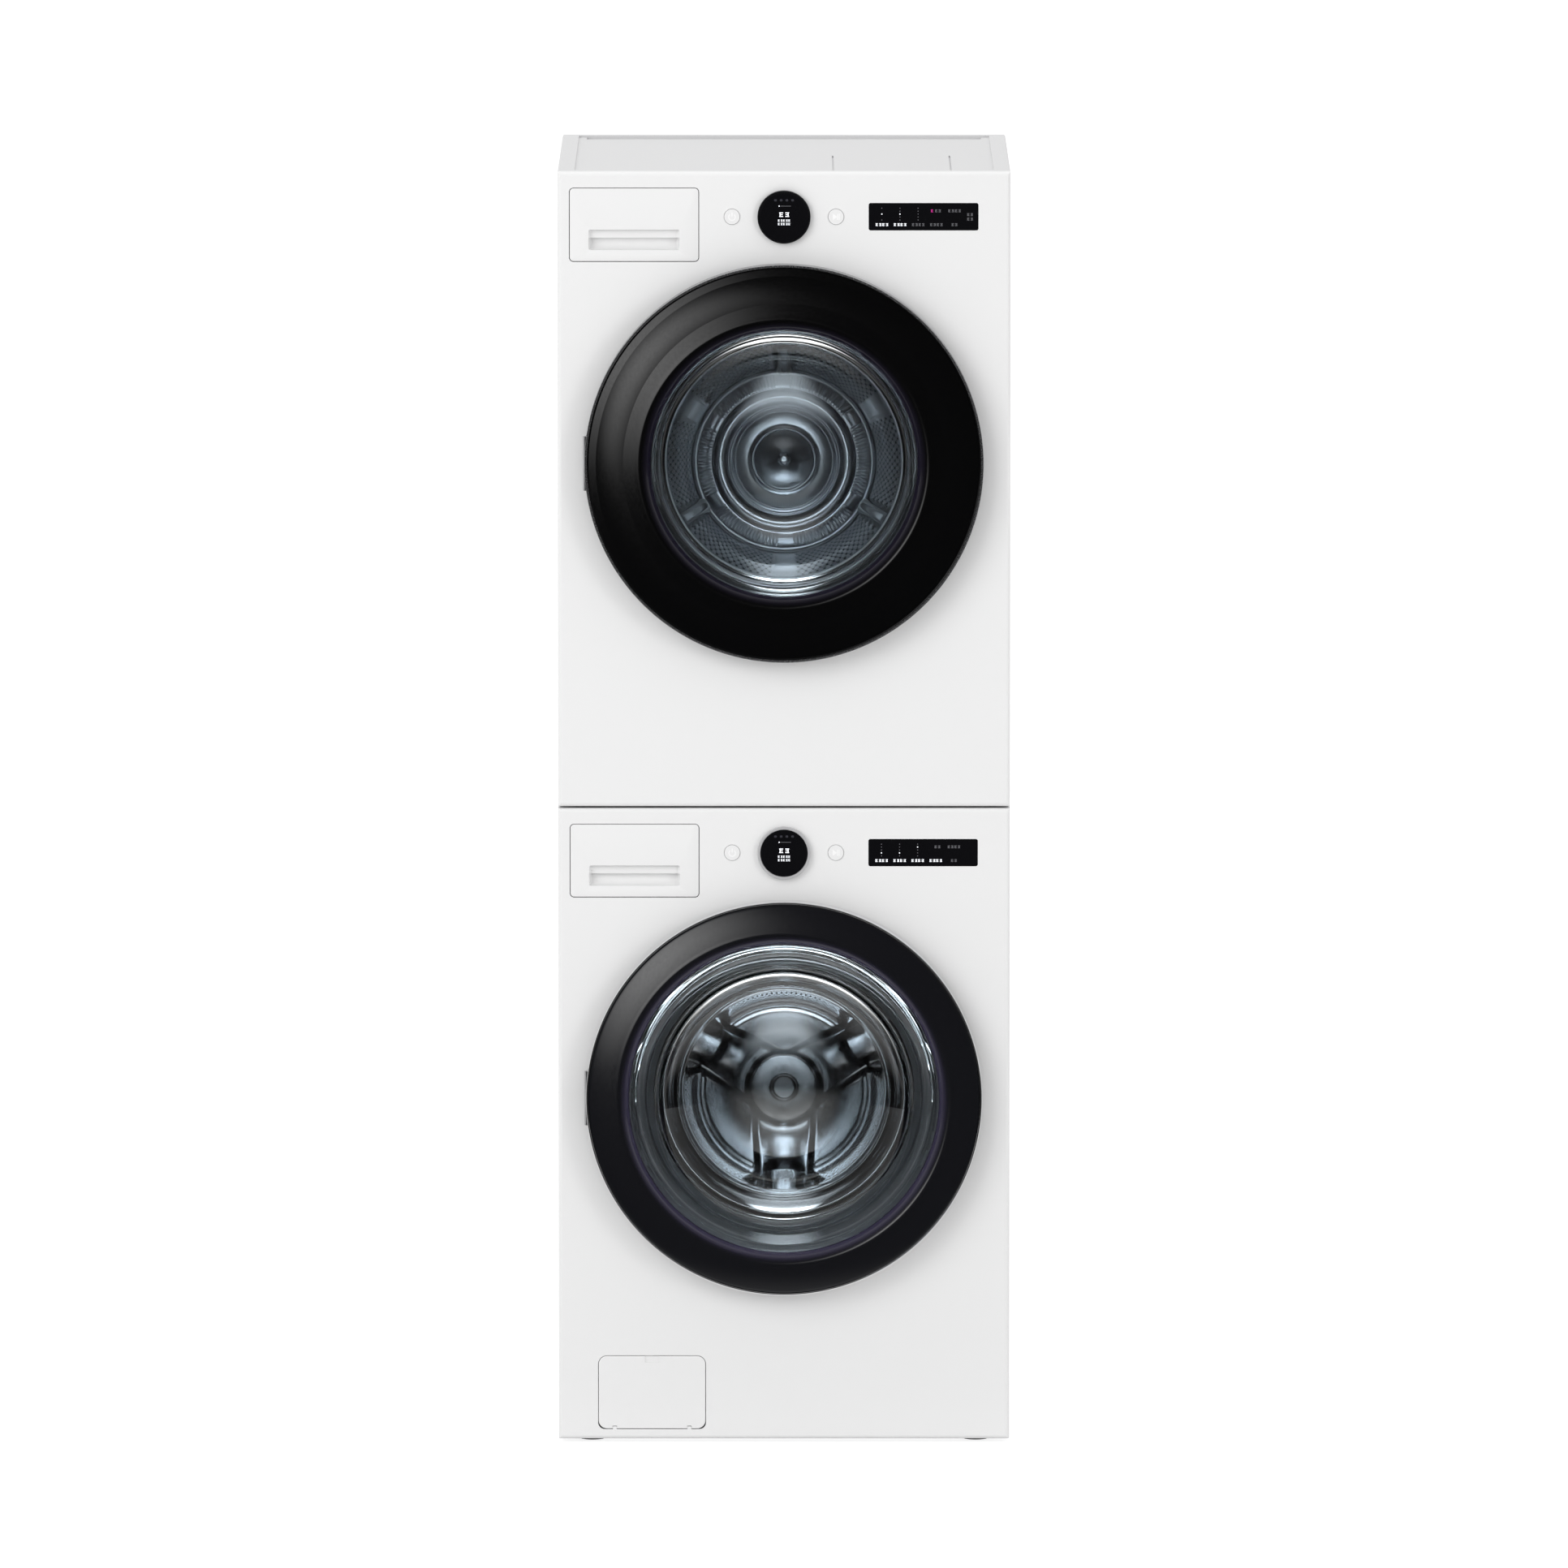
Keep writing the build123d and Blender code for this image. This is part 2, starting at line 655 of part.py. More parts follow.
def bowl(z, edge_radius_, waist, nose, nose_depth, depth, corner):
    """Pressed glass bowl: clamped flange, sloping wall, rounded corner and nearly flat end."""
    seat = crown + lip_fall + frame_wall
    wall = glass_wall
    user = [(edge_radius_ - wall, seat), (waist - wall, front), (nose - wall, front + nose_depth - wall)]
    user_corner = (nose - wall - corner * 0.3, front + depth - wall - corner * 0.22)
    user_end = (nose - corner - wall, front + depth - wall - 1.5)
    outside = [(edge_radius_, seat + wall), (waist, front + wall / 3), (nose, front + nose_depth)]
    outside_corner = (nose - corner * 0.3, front + depth - corner * 0.22)
    outside_end = (nose - corner, front + depth - 1.5)
    outline = [
        Line((edge_radius_ + glass_flange, seat), user[0]),
        Line(user[0], user[1]),
        Line(user[1], user[2]),
        ThreePointArc(user[2], user_corner, user_end),
        Line(user_end, (0, front + depth - wall)),
        Line((0, front + depth - wall), (0, front + depth)),
        Line((0, front + depth), outside_end),
        ThreePointArc(outside_end, outside_corner, outside[2]),
        Line(outside[2], outside[1]),
        Line(outside[1], outside[0]),
        Line(outside[0], (edge_radius_ + glass_flange, seat + wall)),
        Line((edge_radius_ + glass_flange, seat + wall), (edge_radius_ + glass_flange, seat)),
    ]
    return turned(outline, z)


def washer_glass():
    return bowl(washer_door_z, washer_glass_radius, washer_waist_radius, washer_nose_radius,
                washer_nose_depth, washer_bowl_depth, washer_bowl_corner)


def dryer_window():
    return bowl(dryer_door_z, dryer_glass_radius, dryer_waist_radius, dryer_nose_radius,
                dryer_nose_depth, dryer_bowl_depth, dryer_bowl_corner)


def hinge_x(door_radius):
    return hinge_inset - door_radius


def hinge_notch(door_radius, z, depth_back):
    """Space that the fixed hinge knuckles and arms take out of the door's edge."""
    axis = hinge_x(door_radius)
    tall = hinge_length / 2 + notch_air
    reach = hinge_knuckle_radius + notch_air
    return block((-door_radius - 1, axis + reach), (hinge_y - reach, depth_back), (z - tall, z + tall))


def door_ring(door_radius, z):
    """Bright rim: a thin hoop with a rounded nose."""
    inner = door_radius - ring_width
    nose = crown + ring_step
    outline = [
        Line((door_radius, door_back), (door_radius, nose + ring_width / 2)),
        ThreePointArc((door_radius, nose + ring_width / 2), (inner + ring_width / 2, nose),
                      (inner, nose + ring_width / 2)),
        Line((inner, nose + ring_width / 2), (inner, door_back)),
        Line((inner, door_back), (door_radius, door_back)),
    ]
    return turned(outline, z) - hinge_notch(door_radius, z, front)


def door_frame(door_radius, glass_radius, lip, z):
    """Glossy black front: ring crowned next to its lip, falling to a thin outer edge."""
    outer = door_radius - ring_width
    edge_y = crown + ring_step + ring_width
    lip_r = glass_radius + lip
    lip_y = crown + lip_start_fall
    crest = (lip_r + frame_crest, crown)
    middle_r = (crest[0] + outer) / 2
    middle_y = crown + (edge_y - crown) * 0.235
    lip_low = (glass_radius, crown + lip_fall)
    seat = crown + lip_fall + frame_wall
    back = door_back - back_wall
    outline = [
        ThreePointArc((outer, edge_y), (middle_r, middle_y), crest),
        ThreePointArc(crest, (lip_r + frame_crest / 2, crown + lip_start_fall / 4), (lip_r, lip_y)),
        ThreePointArc((lip_r, lip_y), (glass_radius + lip * 0.42, lip_y + lip_fall * 0.3), lip_low),
        Line(lip_low, (glass_radius, seat)),
        Line((glass_radius, seat), (glass_radius + 5, seat)),
        Line((glass_radius + 5, seat), (lip_r, lip_y + frame_wall + 2)),
        Line((lip_r, lip_y + frame_wall + 2), (crest[0], crown + frame_wall)),
        ThreePointArc((crest[0], crown + frame_wall), (middle_r - 1, middle_y + frame_wall),
                      (outer - frame_wall, edge_y + frame_wall)),
        Line((outer - frame_wall, edge_y + frame_wall), (outer - frame_wall, back)),
        Line((outer - frame_wall, back), (outer, back)),
        Line((outer, back), (outer, edge_y)),
    ]
    return turned(outline, z) - hinge_notch(door_radius, z, front)


def door_inner(door_radius, glass_radius, waist, z):
    """Back of the door: flat ring with a clamp that holds the glass flange."""
    outer = door_radius - ring_width
    seat = crown + lip_fall + frame_wall + glass_wall
    slope = (glass_radius - waist) / (front + glass_wall / 3 - seat)
    hole = waist + slope * (door_gap + back_wall + glass_wall / 3) + inner_gap
    clamp = glass_radius + glass_flange - clamp_width
    outline = [(hole, door_back - back_wall), (clamp, door_back - back_wall), (clamp, seat),
               (clamp + clamp_width, seat), (clamp + clamp_width, door_back - back_wall),
               (outer, door_back - back_wall), (outer, door_back), (hole, door_back)]
    ring = turned(outline, z) - hinge_notch(door_radius, z, front)
    slot = hook_half_height + 0.5
    across = hook_half_width + 0.5
    return ring - block((latch_x - across, latch_x + across), (door_back - 10, door_back + 1),
                        (z - slot, z + slot))


def door_fittings(door_radius, z):
    """Moving hinge leaf on the left and the latch hook on the right."""
    axis = hinge_x(door_radius)
    half = middle_knuckle - knuckle_gap
    knuckle = post(hinge_knuckle_radius, (z - half, z + half), axis, hinge_y)
    arm = block((axis, axis + leaf_reach), (hinge_y - leaf_half, hinge_y + leaf_half), (z - half, z + half))
    foot = block((axis + leaf_reach - 4, axis + leaf_reach), (hinge_y - leaf_half, door_back - back_wall),
                 (z - half, z + half))
    leaf = knuckle + arm + foot
    bore = (z - half - 1, z + half + 1)
    leaf -= post(hinge_pin_radius + running_gap, bore, axis, hinge_y)
    stem_y = (door_back - 12, front + hook_tongue)
    high = (z - hook_half_height, z + hook_half_height)
    hook = block((latch_x - hook_half_width, latch_x + hook_half_width), stem_y, high)
    hook_base = block((latch_x - 14, latch_x + 14), (door_back - 12, door_back - 8),
                      (z - 22, z + 22))
    base_leg = block((latch_x - 14, latch_x - 10), (door_back - 12, door_back - back_wall), (z - 22, z + 22))
    hook -= block((latch_x - 3, latch_x + 3), (front + 5, front + 9), (z - 4, z + 4))
    return group(leaf, hook + hook_base + base_leg)


def hinge_bracket(door_radius, z):
    """Fixed half of the hinge: base plate on the panel, two arms and the pin."""
    axis = hinge_x(door_radius)
    half = hinge_length / 2
    bracket = block((axis - arm_back, axis + base_reach), (front - base_plate, front), (z - half, z + half))
    for side in (-1, 1):
        span = sorted((z + side * middle_knuckle, z + side * half))
        bracket += post(hinge_knuckle_radius, span, axis, hinge_y)
        bracket += block((axis - arm_back, axis + arm_front), (hinge_y, front), span)
    return bracket + post(hinge_pin_radius, (z - half, z + half), axis, hinge_y)


def door_lock(z):
    """Lock body behind the latch slot, with room for the hook."""
    slot_y = front + panel_wall
    body = block((latch_x - 16, latch_x + 16), (slot_y, slot_y + lock_depth), (z - 34, z + 34))
    return body - block((latch_x - 8, latch_x + 8), (slot_y - 1, slot_y + lock_depth - 4), (z - 18, z + 18))


def door_hardware():
    return group(hinge_bracket(washer_door_radius, washer_door_z),
                 hinge_bracket(dryer_door_radius, dryer_door_z),
                 door_lock(washer_door_z), door_lock(dryer_door_z))


# --- Washer: gasket, tub, drum and direct drive -------------------------------------------------------
gasket_wall = 3.0
gasket_depth = 60.0
gasket_lip_y = 20.0        # sealing lip behind the front panel
lip_gap = 0.6              # lip to the glass
tub_joint = 300.0          # seam between the two tub halves, along the drum axis
tub_joint_flange = 10.0
tub_joint_thickness = 6.0
tub_mouth_length = 22.0
hub_wall = 9.0
bearing_width = 18.0
drum_front = front + washer_drum_front
drum_rear = drum_front + washer_drum_depth
tub_front = drum_front - tub_front_gap
tub_rear = drum_rear + tub_rear_gap
hub_length = 60.0
hub_end = tub_rear + tub_wall + hub_length
spider_wall = 14.0
spider_arm_width = 56.0
drum_hub_radius = 55.0
drum_hub_rise = 8.0
stator_gap = 10.0          # tub's rear wall to the stator
rotor_wall = 3.0
magnet_gap = 3.0           # stator to rotor
damper_x = 190.0
damper_places = (200.0, 420.0)
damper_radius = 15.0
damper_wall = 3.0
damper_share = 0.6         # cylinder's part of the room under the tub
damper_rod_radius = 7.0
damper_collar = 10.0       # guide at the cylinder's open end
rod_foot_share = 0.4        # rod's lower end, as a part of the cylinder
damper_lug_height = 22.0
spring_radius = 12.0
spring_wire = 2.0
spring_turns = 13
spring_foot = 150.0        # tub ear above the drum axis at the springs
ear_half = 13.0
weight_depth = 34.0        # counterweight ahead of the tub's front
weight_reach = 215.0       # either side of the middle
weight_rise = 120.0        # lower edge above the drum axis


def washer_gasket():
    """Rubber door seal: clamped in the panel opening, with a lip that meets the glass."""
    slope = (washer_waist_radius - washer_nose_radius) / washer_nose_depth
    lip = washer_waist_radius - slope * (gasket_lip_y - 2) + lip_gap
    y = front + gasket_lip_y
    outer = door_opening_radius
    cuff = gasket_cuff_radius
    outline = [(outer, front + 3), (outer, y + 5), (cuff, y + 9), (cuff, front + gasket_depth),
               (cuff - gasket_wall, front + gasket_depth), (cuff - gasket_wall, y + 10),
               (lip + 4, y + 3), (lip, y), (lip + 1, y - 2), (cuff - gasket_wall, y + 1),
               (outer - gasket_wall, front + 7), (outer - gasket_wall, front + 3)]
    return turned(outline, washer_door_z)


def damper_spots():
    return [(side * damper_x, front + place) for place in damper_places for side in (-1, 1)]


def tub_axis_z(y):
    """Height of the drum axis above a place y."""
    return washer_door_z - (y - front) * tan(radians(washer_lean))


def lug_bottom(x, y):
    reach = sqrt((tub_radius + tub_wall) ** 2 - x ** 2)
    return tub_axis_z(y) - reach - damper_lug_height


def washer_tub():
    """Two bolted tub halves; the rear one carries the bearings in its hub."""
    outer = tub_radius + tub_wall
    seam_y = front + tub_joint
    flange = outer + tub_joint_flange
    lid = tub_joint_thickness
    mouth = tub_front - tub_mouth_length
    half = [(tub_mouth_radius, mouth), (tub_mouth_radius + tub_wall, mouth),
            (tub_mouth_radius + tub_wall, tub_front - tub_wall), (outer, tub_front - tub_wall),
            (outer, seam_y - lid), (flange, seam_y - lid), (flange, seam_y), (tub_radius, seam_y),
            (tub_radius, tub_front), (tub_mouth_radius, tub_front)]
    hub = bearing_radius + hub_wall
    back = tub_rear + tub_wall
    rear_half = [(tub_radius, seam_y), (flange, seam_y), (flange, seam_y + lid), (outer, seam_y + lid),
                 (outer, back), (hub, back), (hub, hub_end), (bearing_radius, hub_end),
                 (bearing_radius, tub_rear), (tub_radius, tub_rear)]
    z = washer_door_z
    front_shell = leaned(turned(half, z), washer_lean, z)
    rear_shell = leaned(turned(rear_half, z), washer_lean, z)
    bore = leaned(rod(tub_radius + tub_wall / 2, (tub_front, tub_rear + 1), 0, z), washer_lean, z)
    for x, y in damper_spots():
        low = lug_bottom(x, y)
        lug = block((x - 12, x + 12), (y - 12, y + 12), (low, tub_axis_z(y) - tub_radius / 2))
        lug -= bore
        lug = lug.solids().sort_by(Axis.Z)[0]
        if y < front + tub_joint:
            front_shell += lug
        else:
            rear_shell += lug
    ear_y = (spring_y - ear_half, spring_y + ear_half)
    top = tub_axis_z(spring_y) + spring_foot
    for side in (-1, 1):
        across = (side * spring_x - ear_half, side * spring_x + ear_half)
        ear = block(across, ear_y, (top - spring_foot, top)) - bore
        rear_shell += ear.solids().sort_by(Axis.Z)[-1]
    bearings = []
    for start in (tub_rear + 2, hub_end - bearing_width - 2):
        ring = tube(bearing_radius, shaft_radius + running_gap, (start, start + bearing_width), 0, z)
        bearings.append(leaned(ring, washer_lean, z))
    return group(front_shell, rear_shell, *bearings)


def washer_drum():
    """Steel basket with a rolled mouth and a raised hub on its back."""
    radius = washer_drum_radius
    wall = drum_sheet
    mouth = washer_mouth_radius
    roll = 14.0
    outline = [(mouth, drum_front + roll), (mouth, drum_front + 4), (mouth + 4, drum_front),
               (radius - roll, drum_front), (radius, drum_front + roll), (radius, drum_rear),
               (drum_hub_radius + 12, drum_rear), (drum_hub_radius, drum_rear - drum_hub_rise),
               (0, drum_rear - drum_hub_rise), (0, drum_rear - drum_hub_rise - wall),
               (drum_hub_radius + 1, drum_rear - drum_hub_rise - wall),
               (drum_hub_radius + 13, drum_rear - wall), (radius - wall, drum_rear - wall),
               (radius - wall, drum_front + roll), (radius - roll, drum_front + wall),
               (mouth + 4, drum_front + wall), (mouth + wall, drum_front + 5),
               (mouth + wall, drum_front + roll)]
    return leaned(turned(outline, washer_door_z), washer_lean, washer_door_z)


def paddle(floor, rise, height, base, start, end):
    """Wedge standing at floor + rise, narrower at its crest and sloped at its ends."""
    outline = Polyline((-base / 2, floor + rise), (-base * 0.21, floor + height),
                       (base * 0.21, floor + height), (base / 2, floor + rise), close=True)
    face = Plane.XZ * make_face(outline)
    body = Pos(0, start, 0) * extrude(face, amount=end - start, dir=(0, 1, 0))
    body = fillet(body.edges().filter_by(Axis.Y).sort_by(Axis.Z)[-2:], base * 0.12)
    slope = height * 0.5
    side = Polyline((start, floor - 1), (start, floor + height * 0.3), (start + slope, floor + height + 1),
                    (end - slope, floor + height + 1), (end, floor + height * 0.3), (end, floor - 1),
                    close=True)
    profile = Pos(-base, 0, 0) * extrude(Plane.YZ * make_face(side), amount=2 * base, dir=(1, 0, 0))
    return body & profile


def lifter(radius, height, base, start, end, z, turn):
    """Hollow paddle on the drum wall, open where it sits on the wall."""
    floor = -radius
    chord = radius - sqrt(radius ** 2 - (base / 2) ** 2)
    wall = lifter_wall
    shell = paddle(floor, chord, height, base, start, end)
    hollow = paddle(floor, chord - 0.1, height - wall, base - 2 * wall, start + wall, end - wall)
    return Pos(0, 0, z) * Rot(0, turn, 0) * (shell - hollow)


def drum_lifters(radius, height, base, span, z, lean, first_turn=0.0):
    pieces = []
    for index in range(lifter_count):
        turn = first_turn + index * 360.0 / lifter_count
        pieces.append(leaned(lifter(radius, height, base, span[0], span[1], z, turn), lean, z))
    return group(*pieces)


def washer_drum_lifters():
    span = (drum_front + 34, drum_rear - drum_sheet - 14)
    radius = washer_drum_radius - drum_sheet
    return drum_lifters(radius, lifter_height, washer_lifter_base, span, washer_door_z, washer_lean)


def washer_spider():
    """Cast three-armed carrier on the drum's back with the drive shaft."""
    z = washer_door_z
    y = (drum_rear, drum_rear + spider_wall)
    carrier = rod(drum_hub_radius, y, 0, z)
    arm_end = washer_drum_radius - 10
    for index in range(3):
        arm = block((-spider_arm_width / 2, spider_arm_width / 2), y, (-arm_end, 0))
        carrier += Pos(0, 0, z) * Rot(0, 60 + index * 120, 0) * arm
    carrier += rod(shaft_radius, (drum_rear, rotor_back()), 0, z)
    return leaned(carrier, washer_lean, z)


def rotor_back():
    return hub_end + magnet_gap + rotor_wall


def washer_stator():
    """Ring of wound poles bolted to the tub's rear wall round the hub."""
    z = washer_door_z
    start = tub_rear + tub_wall
    y = (start + stator_gap, start + stator_gap + motor_length * 0.6)
    hub = bearing_radius + hub_wall
    ring = tube(stator_radius * 0.66, hub, (start, y[1]), 0, z)
    pole_count = 24
    for index in range(pole_count):
        pole = block((-6, 6), y, (stator_radius * 0.6, stator_radius))
        ring += Pos(0, 0, z) * Rot(0, index * 360 / pole_count, 0) * pole
    return leaned(ring, washer_lean, z)


def washer_rotor():
    """Pressed cup with magnets that turns round the stator and drives the shaft."""
    back = rotor_back()
    inner = stator_radius + magnet_gap
    outline = [(shaft_radius, back - rotor_wall), (inner, back - rotor_wall),
               (inner, tub_rear + tub_wall + stator_gap), (rotor_radius, tub_rear + tub_wall + stator_gap),
               (rotor_radius, back - 4), (rotor_radius - 6, back), (shaft_radius, back)]
    return leaned(turned(outline, washer_door_z), washer_lean, washer_door_z)


def washer_counterweight():
    """Concrete arc bolted to the front of the tub above the mouth, in two halves."""
    z = washer_door_z
    y = (tub_front - tub_wall - weight_depth, tub_front - tub_wall)
    ring = tube(tub_radius, tub_mouth_radius + 3 * tub_wall, y, 0, z)
    halves = []
    for side in (-1, 1):
        across = sorted((side * 5, side * weight_reach))
        half = ring & block(across, (y[0] - 1, y[1] + 1), (z + weight_rise, z + tub_radius + 1))
        halves.append(leaned(half, washer_lean, z))
    return group(*halves)


def damper_length():
    lowest = lug_bottom(damper_x, front + damper_places[1])
    return damper_share * (lowest - washer_bottom - base_wall)


def washer_damper_cylinders():
    """Friction damper cylinders standing on the base, open at the top."""
    floor = washer_bottom + base_wall
    length = damper_length()
    pieces = []
    for x, y in damper_spots():
        cylinder = post(damper_radius, (floor, floor + length), x, y)
        bore = damper_radius - damper_wall
        cylinder -= post(bore, (floor + damper_wall, floor + length - damper_collar), x, y)
        collar = (floor + length - damper_collar - 1, floor + length + 1)
        cylinder -= post(damper_rod_radius + air, collar, x, y)
        foot = block((x - 24, x + 24), (y - 18, y + 18), (floor, floor + damper_wall))
        pieces.append(cylinder + foot)
    return group(*pieces)


def washer_damper_rods():
    foot = washer_bottom + base_wall + rod_foot_share * damper_length()
    rods = []
    for x, y in damper_spots():
        rods.append(post(damper_rod_radius, (foot, lug_bottom(x, y)), x, y))
    return group(*rods)


def washer_springs():
    """Suspension springs from the cabinet shelves down to the tub's ears."""
    low = tub_axis_z(spring_y) + spring_foot
    length = spring_top - low
    springs = []
    for side in (-1, 1):
        path = Helix(pitch=(length - 2 * spring_wire) / spring_turns, height=length - 2 * spring_wire,
                     radius=spring_radius)
        section = Plane(origin=path @ 0, z_dir=path % 0) * Circle(spring_wire)
        coil = sweep(section, path=path)
        springs.append(Pos(side * spring_x, spring_y, low + spring_wire) * coil)
    return group(*springs)


# --- Washer: drain filter, pump and rear connections ---------------------------------------------------
finger_notch_width = 22.0
finger_notch_height = 10.0
pump_y = front + 20.0
pump_length = 92.0
pump_wall = 4.0
strainer_radius = 24.0
pump_motor_radius = 26.0
pump_motor_length = 55.0
filter_grip_height = 11.0
filter_z = washer_bottom + filter_cover_rise + filter_cover_height / 2


def filter_cover():
    """Flush flap over the drain filter, with pins along its rounded lower edge."""
    low = washer_bottom + filter_cover_rise
    wall = filter_cover_wall
    middle_z = low + filter_cover_height / 2
    cover = plate((filter_cover_width, filter_cover_height), filter_cover_radius, (front, front + wall),
                  filter_cover_x, middle_z)
    flat = filter_cover_width / 2 - filter_cover_radius
    outline_edges = cover.edges().filter_by(Axis.Y, reverse=True)
    low_edges = [edge for edge in outline_edges if edge.center().Z < low + filter_cover_radius]
    cover = fillet(low_edges, wall * 0.45)
    notch_z = (low + filter_cover_height - finger_notch_height, low + filter_cover_height + 1)
    across = (filter_cover_x - finger_notch_width / 2, filter_cover_x + finger_notch_width / 2)
    cover -= block(across, (front - 1, front + 1.8), notch_z)
    axis = (front + wall / 2, low + wall / 2)
    for side in (-1, 1):
        x = filter_cover_x + side * min(tab_x, flat - 5)
        gap = tab_half + 0.4
        cover -= block((x - gap, x + gap), (front - 1, front + wall + 1), (low - 1, low + tab_rise + 1))
        cover += bar(cover_pin_radius, (x - gap - 0.5, x + gap + 0.5), axis[0], axis[1])
    return cover


def pump_filter():
    """Screw cap with a grip bar and a slotted strainer behind it."""
    x = filter_cover_x
    cap = rod(filter_cap_radius, (front + filter_grip_height, pump_y - air), x, filter_z)
    grip = block((x - 4, x + 4), (front + filter_cover_wall + 1, front + filter_grip_height + 1),
                 (filter_z - filter_cap_radius * 0.8, filter_z + filter_cap_radius * 0.8))
    strainer = tube(strainer_radius, strainer_radius - 2.5, (pump_y - air - 1, pump_y + pump_length - 16),
                    x, filter_z)
    for turn in range(0, 360, 45):
        slot = block((-3, 3), (pump_y + 14, pump_y + pump_length - 26), (0, strainer_radius + 1))
        strainer -= Pos(x, 0, filter_z) * Rot(0, turn, 0) * slot
    return cap + grip + strainer


def drain_pump():
    """Pump body on the base with the filter's bore, a hose stub and the motor behind."""
    x = filter_cover_x
    end = pump_y + pump_length
    outer = strainer_radius + air + pump_wall
    body = rod(outer, (pump_y, end), x, filter_z)
    body += tube(filter_cap_radius, strainer_radius, (pump_y, pump_y + 6), x, filter_z)
    body += rod(pump_motor_radius, (end - 1, end + pump_motor_length), x, filter_z)
    floor = washer_bottom + base_wall
    body += block((x - 22, x + 22), (pump_y + 14, end), (floor, filter_z))
    body += bar(11, (x + outer - 6, x + outer + 34), end - 24, filter_z)
    return body - rod(strainer_radius + air, (pump_y - 1, end - 8), x, filter_z)


def valve(x, top):
    """Inlet valve: body inside the back and a threaded hose spigot outside."""
    z = top - inlet_drop
    body = block((x - 18, x + 18), (rear - sheet - 46, rear - sheet), (z - 22, z + 22))
    spigot = rod(spigot_radius, (rear - sheet - 1, rear + rear_reach), x, z)
    return body + spigot - rod(spigot_radius - 3.2, (rear - 20, rear + rear_reach + 1), x, z)


def stub(x, z, radius, proud, bore):
    """Hose or cord fitting through the back, with a flange inside."""
    fitting = rod(radius, (rear - sheet - 8, rear + proud), x, z)
    fitting += rod(radius + 5, (rear - sheet - 8, rear - sheet), x, z)
    return fitting - rod(bore, (rear - sheet - 9, rear + proud + 1), x, z)


def rear_fittings():
    washer_z = washer_top - inlet_drop
    dryer_z = dryer_top_z - inlet_drop
    valves = [valve(place, washer_top) for place in inlet_places]
    stubs = [stub(drain_x, washer_z, drain_radius, 20, drain_radius - 3),
             stub(drain_x, dryer_z, drain_radius / 2, 20, drain_radius / 2 - 2)]
    glands = [stub(gland_x, z, gland_radius - 0.3, gland_proud, 3.8) for z in (washer_z, dryer_z)]
    return group(*valves, *stubs, *glands)


# --- Dryer: drum, drive and heat pump ---------------------------------------------------------------
dryer_drum_start = front + dryer_drum_front
dryer_drum_end = dryer_drum_start + dryer_drum_depth
dryer_mouth_radius = 262.0
back_disc_wall = 2.0
back_ring_shares = (0.72, 0.61, 0.50, 0.43, 0.29)   # rings pressed in the back, parts of its radius
back_ring_rise = 20.0
back_ring_step = 12.0
boss_rise = 18.0           # centre boss ahead of the drum's back
drum_axle_radius = 12.5
drum_axle_length = 66.0
brace_half_height = 46.0
brace_depth = 26.0
brace_setback = 30.0       # drum back to the brace
bulkhead_start = front + 34.0
bulkhead_wall = 4.0
bulkhead_radius = 298.0
bulkhead_collar = 256.0
bulkhead_collar_length = 44.0
filter_pocket_half = 105.0
filter_pocket_low = 336.0  # below the door's centre
filter_pocket_high = 216.0
filter_pocket_y = (front + 4, front + 34)
filter_pocket_wall = 3.0
belt_y = (front + belt_place - belt_width / 2, front + belt_place + belt_width / 2)
drive_gap = 0.4            # drum, belt, pulley, idler and rollers at rest
compressor_radius = 62.0
compressor_height = 170.0
can_dome = 26.0            # rounded shoulder of the can
compressor_x = half_width - 135.0
compressor_y = rear - 155.0
exchanger_x = (27.0 - inner_half, -70.0)
blower_front = 12.0        # blower wheel behind the motor
blower_rear = 48.0
blower_radius = 52.0
blower_hub_radius = 14.0
exchanger_height = 130.0
exchanger_rise = 34.0
evaporator_place = 190.0
evaporator_length = 120.0
exchanger_spacing = 20.0
condenser_length = 170.0
evaporator_y = (front + evaporator_place, front + evaporator_place + evaporator_length)
condenser_y = (evaporator_y[1] + exchanger_spacing, evaporator_y[1] + exchanger_spacing + condenser_length)
fin_count = 16


def dryer_drum():
    """Steel drum with a turned-in mouth, three lifters and a folded rear edge."""
    radius = dryer_drum_radius
    wall = drum_sheet
    start = dryer_drum_start
    outline = [(dryer_mouth_radius, start), (radius - 10, start), (radius, start + 8),
               (radius, dryer_drum_end), (radius - 6, dryer_drum_end), (radius - 6, dryer_drum_end - wall),
               (radius - wall, dryer_drum_end - wall), (radius - wall, start + 9),
               (radius - 10, start + wall), (dryer_mouth_radius, start + wall)]
    shell = leaned(turned(outline, dryer_door_z), dryer_lean, dryer_door_z)
    span = (start + 70, dryer_drum_end - wall - 30)
    lifters = drum_lifters(radius - wall, dryer_lifter_height, dryer_lifter_base, span, dryer_door_z,
                           dryer_lean, dryer_lifter_turn)
    return group(shell, lifters)


